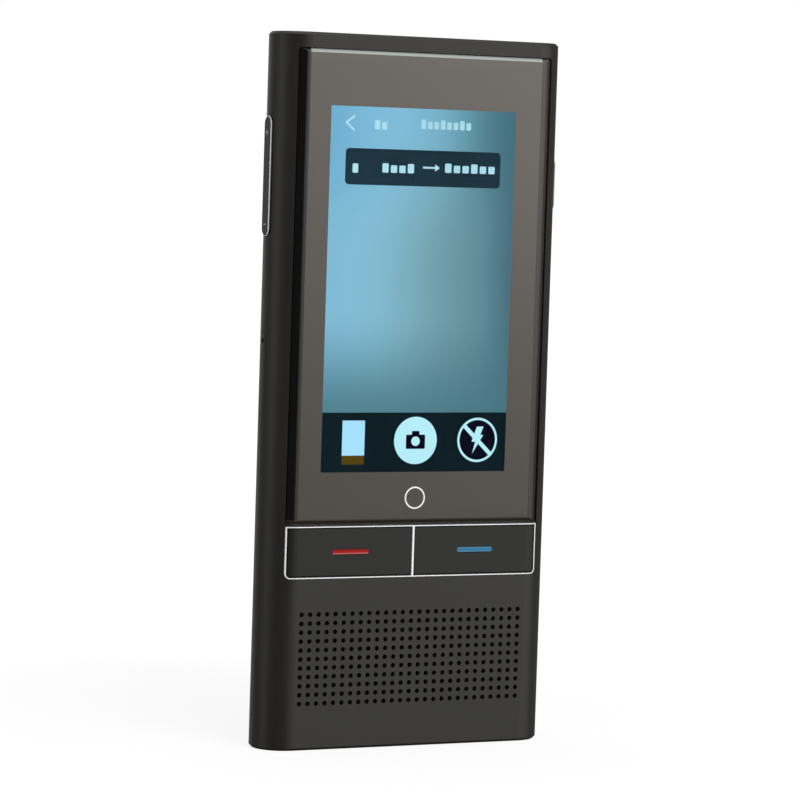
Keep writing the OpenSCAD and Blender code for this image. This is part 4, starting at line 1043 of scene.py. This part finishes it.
class TRANSLATOR_OT_talk_keys(bpy.types.Operator):
    """Finishes the talk keys and their polished frame, and builds the two domed light bars"""

    bl_idname = "translator.talk_keys"
    bl_label = "Talk keys"

    def execute(self, context):
        casing = context.scene.translator_casing
        s = context.scene.translator_lights
        keys = grained("key_coat", casing.keys, 0.38, grain=0.00018, bump=0.04,
                       specular_ior_level=0.37)
        dress(keys, "left_talk_key", "right_talk_key", "volume_key", "power_key")
        # The polished trim's near-white colour is partly painted highlight.
        polish = grained("polished_trim", casing.trim, 0.2, grain=0.0006, bump=0.01,
                         colour_spread=0.05, metallic=0.2)
        dress(polish, "camera_ring")
        self.frame(casing, polish)
        dress(self.rim(casing), "volume_key_rim", "power_key_rim")
        red = self.bar_tint("red_light_bar", s.red, s.red_edge_highlight, False, s.glow)
        self.light_bar("red_light_bar", "left_talk", red, "red_light")
        blue = self.bar_tint("blue_light_bar", s.blue, s.blue_edge_highlight, True, s.glow)
        self.light_bar("blue_light_bar", "right_talk", blue, "blue_light")
        return {"FINISHED"}

    def frame(self, casing, polish):
        """A band round both keys and a bar between them. The band's section runs up the outer
        wall, over a narrow polished crown and down a flank to the keys. The strips on either side of
        the crown, down to the keys, are black: painted shade of the gaps beside it. Its front
        follows
        the casing: y = r - sqrt(r^2 - t^2), with t the distance past the flat."""
        low, high = np.array(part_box("key_frame"))
        # Black strips beside the crown: painted shade of the gaps round it.
        gap_shade_lacquer = grained("painted_gap_shade", (0.05, 0.05, 0.048), 0.4, grain=0.0003, bump=0.03,
                          specular_ior_level=0.2)
        flat_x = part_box("front_housing")[1][0] - casing.side_bend

        def front(x):
            past = np.clip(np.abs(x) - flat_x, 0, None)
            return low[1] + casing.side_bend - np.sqrt(casing.side_bend**2 - past**2)

        def outline(side, foot, top):
            """The band's outline, drawn in by a distance at its sides, foot and top."""
            a, z0, z1 = high[0] - side, low[2] + foot, high[2] - top
            r = FRAME_CORNER - max(side, foot)
            bend = np.linspace(0, math.pi / 2, 8)
            half = np.linspace(flat_x, a - r, 10)[:-1]
            along = np.concatenate([-half[::-1], half])
            up = np.linspace(z0 + r, z1, 5)[1:-1]
            corner_x, corner_z = a - r + r * np.sin(bend), z0 + r - r * np.cos(bend)
            over = np.linspace(a, flat_x, 8)
            wall = np.full(len(up), a)
            xs = [along, corner_x, wall, over, -over[::-1], -wall, -corner_x[::-1]]
            zs = [np.full(len(along), z0), corner_z, up, np.full(2 * len(over), z1), up[::-1],
                  corner_z[::-1]]
            return np.concatenate(xs), np.concatenate(zs)

        rings = []
        for side, foot, top, sunk, _ in FRAME_SECTION:
            x, z = outline(side * MM, foot * MM, top * MM)
            y = np.full(len(x), high[1]) if sunk is None else front(x) + sunk * MM
            rings.append(np.stack([x, y, z], axis=1))
        columns = len(rings[0])
        band = np.concatenate(rings), loop_quads(len(rings), columns).tolist()

        section = [(-a, sunk) for a, sunk in BAR_SECTION] + BAR_SECTION[::-1]
        section = [(a * MM, high[1] if sunk is None else low[1] + sunk * MM)
                   for a, sunk in section]
        ends = [np.insert(section, 2, z, axis=1) for z in (low[2] + BAR_FOOT, high[2] - BAR_TOP)]
        bar = np.concatenate(ends), loft_faces(2, len(section))

        points, faces = joined([band, bar])
        slots = np.repeat([row[-1] for row in FRAME_SECTION] + [0],
                          [columns] * len(FRAME_SECTION) + [len(bar[1])])
        piece = new_piece("key_trim", points, faces, [polish, gap_shade_lacquer], slots, smooth=False)
        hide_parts("key_frame")

    def rim(self, casing):
        """A side key's rim: coated like the key, with one bright cut round its chamfer and black
        below it, painted shade of the gap, by the distance |x| from the middle."""
        # The bright cut takes the trim's near-white colour, which also paints its highlight.
        material = grained("cut_rim", casing.trim, 0.2, grain=0.0004, bump=0.01,
                           colour_spread=0.05)
        tree, shader = shader_of(material)
        out = calc(tree, "ABSOLUTE", axes_of(tree)["X"])
        past = calc(tree, "SUBTRACT", out, casing.rim_bright)
        coated = span(tree, calc(tree, "ABSOLUTE", past), CUT_HALF, CUT_END)
        outside = span(tree, past, -CUT_TURN, CUT_TURN)
        # Painted shade: black inside the bright cut, where the gap lies in shade.
        coat = blend(tree, outside, linear((0.02, 0.02, 0.02)), linear(casing.keys))
        wire(shader, Base_Color=blend(tree, coated, colour_source(shader), coat),
             Metallic=calc(tree, "MULTIPLY_ADD", coated, -0.35, 0.35))
        return material

    def bar_tint(self, name, shown, edge, highlight_both_edges, glow):
        """A lens whose colour runs up its height: painted shade at the gap, a painted highlight
        line, then its own colour, and painted shade again at the top."""
        lens = grained(name + "_lens", shown, 0.3, grain=0.0004, bump=0.02,
                       specular_ior_level=0.15, emission_strength=glow)
        tree, shader = shader_of(lens)
        low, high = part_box(name)
        level = span(tree, axes_of(tree)["Z"], low[2], high[2])
        # Painted shade at both ends of the lens, where the gap round it lies; the red one is also
        # darker towards its top.
        dark, dim = (tuple(share * c for c in shown) for share in (0.35, 0.8))
        last = edge if highlight_both_edges else dim
        tone = ramp(tree, level, [
            (0.0, dark), (0.12, dark), (0.18, edge), (0.28, edge), (0.38, shown), (0.62, shown),
            (0.76, last), (0.84, last), (0.92, dark),
        ])
        wire(shader, Base_Color=tone, Emission_Color=tone)
        return lens

    def light_bar(self, name, body, lens, slot_name):
        """A pill whose rim rolls over into a low crown: the outline shrinks by r (1 - cos t) as it
        rises by h sin t."""
        low, high = np.array(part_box(name))
        width, _, height = high - low
        centre = (high + low) / 2
        t = np.linspace(0, math.pi / 2, 7)
        outlines = []
        for inset in (0, *(LENS_ROLL * (1 - np.cos(t)))):
            w, h = width - 2 * inset, height - 2 * inset
            outlines.append(pill_outline(w, h, h / 2 * LENS_END, 12) + [centre[0], centre[2]])
        depths = [high[1], *(low[1] + LENS_SUNK - LENS_CROWN * np.sin(t))]
        points, faces = capped_loft(outlines, depths)
        piece = new_piece(name.replace("_bar", "_lens"), points, faces, [lens], body=body)
        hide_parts(name)


# The strokes of the plus and the minus on the volume key: length along Y, length along Z, height.
LONG, THIN, PLUS_Z, MINUS_Z = 0.0011, 0.00022, 0.1154, 0.0983
MARK_STROKES = ((LONG, THIN, PLUS_Z), (THIN, LONG, PLUS_Z), (LONG, THIN, MINUS_Z))
# How far the first stroke stands out, how much further each next one does, and their thickness.
MARK_PROUD, MARK_STEP, MARK_THICK = 0.000008, 0.000002, 0.00003
MARK_CORNER = 0.00005


class TRANSLATOR_OT_side_marks(bpy.types.Operator):
    """Prints the plus and minus signs on the volume key"""

    bl_idname = "translator.side_marks"
    bl_label = "Side key marks"

    def execute(self, context):
        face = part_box("volume_key")[0][0]
        paint = grained("mark_print", (0.62, 0.62, 0.62), 0.5, grain=0.0001, bump=0.02)
        parts = []
        for k, (along_y, along_z, z) in enumerate(MARK_STROKES):
            outline = pill_outline(along_y, along_z, MARK_CORNER, 3) + [0, z]
            front = face - MARK_PROUD - MARK_STEP * k
            points, faces = capped_loft([outline, outline], [front + MARK_THICK, front])
            # Swapping X and Y mirrors the loft, so its faces are turned round.
            parts.append((points[:, [1, 0, 2]], [f[::-1] for f in faces]))
        points, faces = joined(parts)
        piece = new_piece(
            "volume_marks", points, faces, [paint], body="volume_rocker", smooth=False
        )
        return {"FINISHED"}


# ---------- inner parts ----------

# The lens barrel's section in millimetres: its radius, and its height above the camera's face.
BARREL_SECTION = (
    (3.45, 0.01), (1.2, 0.01), (1.2, 0.20), (1.55, 0.20), (1.75, 0.42), (2.05, 0.42),
    (2.15, 0.30), (2.75, 0.30), (2.95, 0.52), (3.45, 0.60),
)
BARREL_STEPS = 72
# The camera's lens in millimetres: its radius, and above the camera's face the height of its edge
# and of its dome's foot, and the dome's rise.
DOME_RADIUS, DOME_EDGE, DOME_FOOT, DOME_RISE = 1.5, 0.05, 0.21, 0.12
DOME_STEPS = 48


def middle_of(name):
    """A node's middle, as the inputs of the rings' group."""
    low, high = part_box(name)
    return {"Centre X": (low[0] + high[0]) / 2, "Centre Z": (low[2] + high[2]) / 2}


class TRANSLATOR_OT_inner_parts(bpy.types.Operator):
    """Finishes the boards, ribbons, shields, battery, loudspeaker and other inner parts"""

    bl_idname = "translator.inner_parts"
    bl_label = "Inner parts"

    def execute(self, context):
        self.metals()
        self.boards()
        self.plastics()
        self.sound()
        self.flash()
        self.camera()
        return {"FINISHED"}

    def metals(self):
        for name, shown, mark, roughness, bump, nodes in (
            ("rolled_steel", (0.62, 0.63, 0.65), (0.72, 0.73, 0.75), 0.3, 0.08,
             ("display_tray", "processor_shield", "radio_shield")),
            ("plated_steel", (0.66, 0.66, 0.66), (0.78, 0.78, 0.77), 0.24, 0.05,
             ("sim_socket", "usb_c_shell", "vibration_motor")),
            ("microphone_can", (0.80, 0.63, 0.28), (0.90, 0.74, 0.36), 0.25, 0.05,
             ("lower_microphone", "upper_microphone")),
        ):
            dress(patterned(name, "brushed_grain", shown, mark, roughness, bump=bump,
                            metallic=1.0), *nodes)
        for name, shown, roughness, grain, bump, metallic, nodes in (
            ("switch_dome", (0.70, 0.70, 0.69), 0.28, 0.0002, 0.03, 1.0,
             ("left_talk_switch", "right_talk_switch", "volume_up_switch", "volume_down_switch",
              "power_switch")),
            ("screw_black_oxide", (0.16, 0.16, 0.17), 0.35, 0.0001, 0.1, 0.8,
             ("frame_screws", "board_screws")),
            ("cast_alloy", (0.48, 0.49, 0.51), 0.5, 0.0005, 0.12, 1.0, ("middle_frame",)),
        ):
            dress(grained(name, shown, roughness, grain=grain, bump=bump, metallic=metallic),
                  *nodes)

    def boards(self):
        gold = (0.86, 0.70, 0.36)
        dress(patterned("solder_mask", "board_tracks", (0.07, 0.24, 0.15), gold, 0.35, bump=0.25,
                        specular_ior_level=0.5), "main_board", "port_board", "key_board")
        film, copper, upright = (0.80, 0.53, 0.17), (0.60, 0.33, 0.10), math.pi / 2
        for name, shown, mark, roughness, bump, metallic, lines, nodes in (
            ("amber_film_upright", film, copper, 0.3, 0.15, 0.0, (0.0006, 0.0, 0.1),
             ("display_flex", "volume_flex", "power_flex", "link_flex")),
            ("amber_film_level", film, copper, 0.3, 0.15, 0.0, (0.0006, upright, 0.1),
             ("upper_antenna", "lower_antenna")),
            ("connector_pins", (0.06, 0.06, 0.065), (0.80, 0.66, 0.34), 0.4, 0.3, 0.0,
             (0.0004, 0.0, 0.55), ("board_connectors",)),
            ("port_tongue_contacts", (0.05, 0.05, 0.055), gold, 0.35, 0.2, 0.0,
             (0.0005, 0.0, 0.2), ("usb_c_tongue",)),
            ("card_contacts", gold, (0.40, 0.33, 0.20), 0.25, 0.3, 1.0,
             (0.0022, upright, 0.92), ("sim_card",)),
        ):
            ruling = dict(zip(("Pitch", "Turn", "Share"), lines))
            dress(patterned(name, "ruled_lines", shown, mark, roughness, bump=bump,
                            metallic=metallic, inputs=ruling), *nodes)

    def plastics(self):
        for name, shown, roughness, grain, bump, nodes in (
            ("black_tape", (0.05, 0.05, 0.05), 0.7, 0.00025, 0.08, ("glass_tape",)),
            ("display_black", (0.03, 0.03, 0.035), 0.2, 0.0006, 0.02,
             ("lcd_panel", "touch_sensor")),
            ("milky_guide", (0.92, 0.93, 0.95), 0.35, 0.00025, 0.06, ("backlight",)),
            ("black_moulding", (0.07, 0.07, 0.075), 0.5, 0.00025, 0.08,
             ("speaker_frame", "speaker_chamber", "camera_module")),
        ):
            dress(grained(name, shown, roughness, grain=grain, bump=bump), *nodes)
        dress(patterned("tape_liner", "plain_weave", (0.72, 0.71, 0.67), (0.82, 0.81, 0.77), 0.6,
                        inputs={"Pitch": 0.0009}), "battery_tape")
        dress(patterned("pouch_foil", "brushed_grain", (0.22, 0.23, 0.25), (0.30, 0.31, 0.33),
                        0.42, bump=0.25, metallic=0.6, inputs={"Pitch": 0.0012}), "battery")

    def sound(self):
        rings = {"Pitch": 0.0016, **middle_of("speaker_cone")}
        dress(patterned("pressed_cone", "turned_rings", (0.16, 0.16, 0.17), (0.24, 0.24, 0.25),
                        0.5, bump=0.4, depth=0.0001, inputs=rings), "speaker_cone")
        dress(patterned("speaker_cloth", "plain_weave", (0.02, 0.02, 0.02),
                        (0.055, 0.055, 0.055), 0.9, bump=0.6, inputs={"Pitch": 0.0003}),
              "speaker_mesh")

    def flash(self):
        rings = {"Pitch": 0.00032, **middle_of("flash_window")}
        dress(grained("flash_phosphor", (0.95, 0.88, 0.50), 0.5, grain=0.0002, bump=0.2),
              "flash_light")
        dress(patterned("flash_prism", "turned_rings", (0.80, 0.80, 0.76), (0.92, 0.92, 0.88),
                        0.2, bump=0.5, depth=0.0001, inputs=rings), "flash_window")

    def camera(self):
        """Behind the camera's clear window, a barrel turned from a stepped profile round a lens,
        whose dome rises by h cos t as its radius grows by r sin t."""
        dress(grained("lens_window", (0.95, 0.95, 0.96), 0.03, bump=0.0, colour_spread=0.02,
                      roughness_spread=0.02, ior=1.3, transmission_weight=1.0), "camera_window")
        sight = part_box("camera_module")[1][1]
        middle = middle_of("camera_window")
        centre_x, centre_z = middle.values()
        black = patterned("lens_barrel", "turned_rings", (0.03, 0.03, 0.032), (0.07, 0.07, 0.075),
                          0.35, bump=0.5, depth=0.00005, inputs={"Pitch": 0.00024, **middle})
        profile = [(r * MM, sight + up * MM) for r, up in BARREL_SECTION]
        points = turned(profile, BARREL_STEPS) + [centre_x, 0, centre_z]
        faces = loop_quads(len(profile), BARREL_STEPS)
        barrel = new_piece("lens_barrel", points, faces, [black], smooth=False)

        coated = grained("coated_lens", (0.035, 0.03, 0.075), 0.04, bump=0.0, colour_spread=0.6,
                         patch_scale=300.0, roughness_spread=0.02, coat_weight=0.6)
        t = np.linspace(math.pi / 2, 0.08, 9)
        outlines = [DOME_RADIUS * MM * share * circle(DOME_STEPS) + [centre_x, centre_z]
                    for share in (1, *np.sin(t))]
        depths = [sight + up * MM for up in (DOME_EDGE, *(DOME_FOOT + DOME_RISE * np.cos(t)))]
        points, faces = capped_loft(outlines, depths)
        lens = new_piece("camera_lens", points, [f[::-1] for f in faces], [coated])


# ---------- add-on ----------

OPERATORS = (
    TRANSLATOR_OT_stage,
    TRANSLATOR_OT_casing,
    TRANSLATOR_OT_glass,
    TRANSLATOR_OT_display,
    TRANSLATOR_OT_talk_keys,
    TRANSLATOR_OT_side_marks,
    TRANSLATOR_OT_inner_parts,
)


class TRANSLATOR_PT_panel(bpy.types.Panel):
    """Lists the settings and the steps that build the device"""

    bl_label = "Translator"
    bl_idname = "TRANSLATOR_PT_panel"
    bl_space_type = "VIEW_3D"
    bl_region_type = "UI"
    bl_category = "Translator"

    def draw(self, context):
        for name in SETTINGS:
            box = self.layout.box()
            settings = getattr(context.scene, name)
            for key in settings.__annotations__:
                box.prop(settings, key)
        for operator in OPERATORS:
            self.layout.operator(operator.bl_idname)


def register():
    for name, group in SETTINGS.items():
        bpy.utils.register_class(group)
        setattr(bpy.types.Scene, name, PointerProperty(type=group))
    for cls in (*OPERATORS, TRANSLATOR_PT_panel):
        bpy.utils.register_class(cls)


def unregister():
    for cls in reversed((*OPERATORS, TRANSLATOR_PT_panel)):
        bpy.utils.unregister_class(cls)
    for name, group in reversed(SETTINGS.items()):
        delattr(bpy.types.Scene, name)
        bpy.utils.unregister_class(group)


def main():
    register()
    bpy.ops.translator.stage()
    bpy.ops.translator.casing()
    bpy.ops.translator.glass()
    bpy.ops.translator.display()
    bpy.ops.translator.talk_keys()
    bpy.ops.translator.side_marks()
    bpy.ops.translator.inner_parts()


if __name__ == "__main__":
    main()
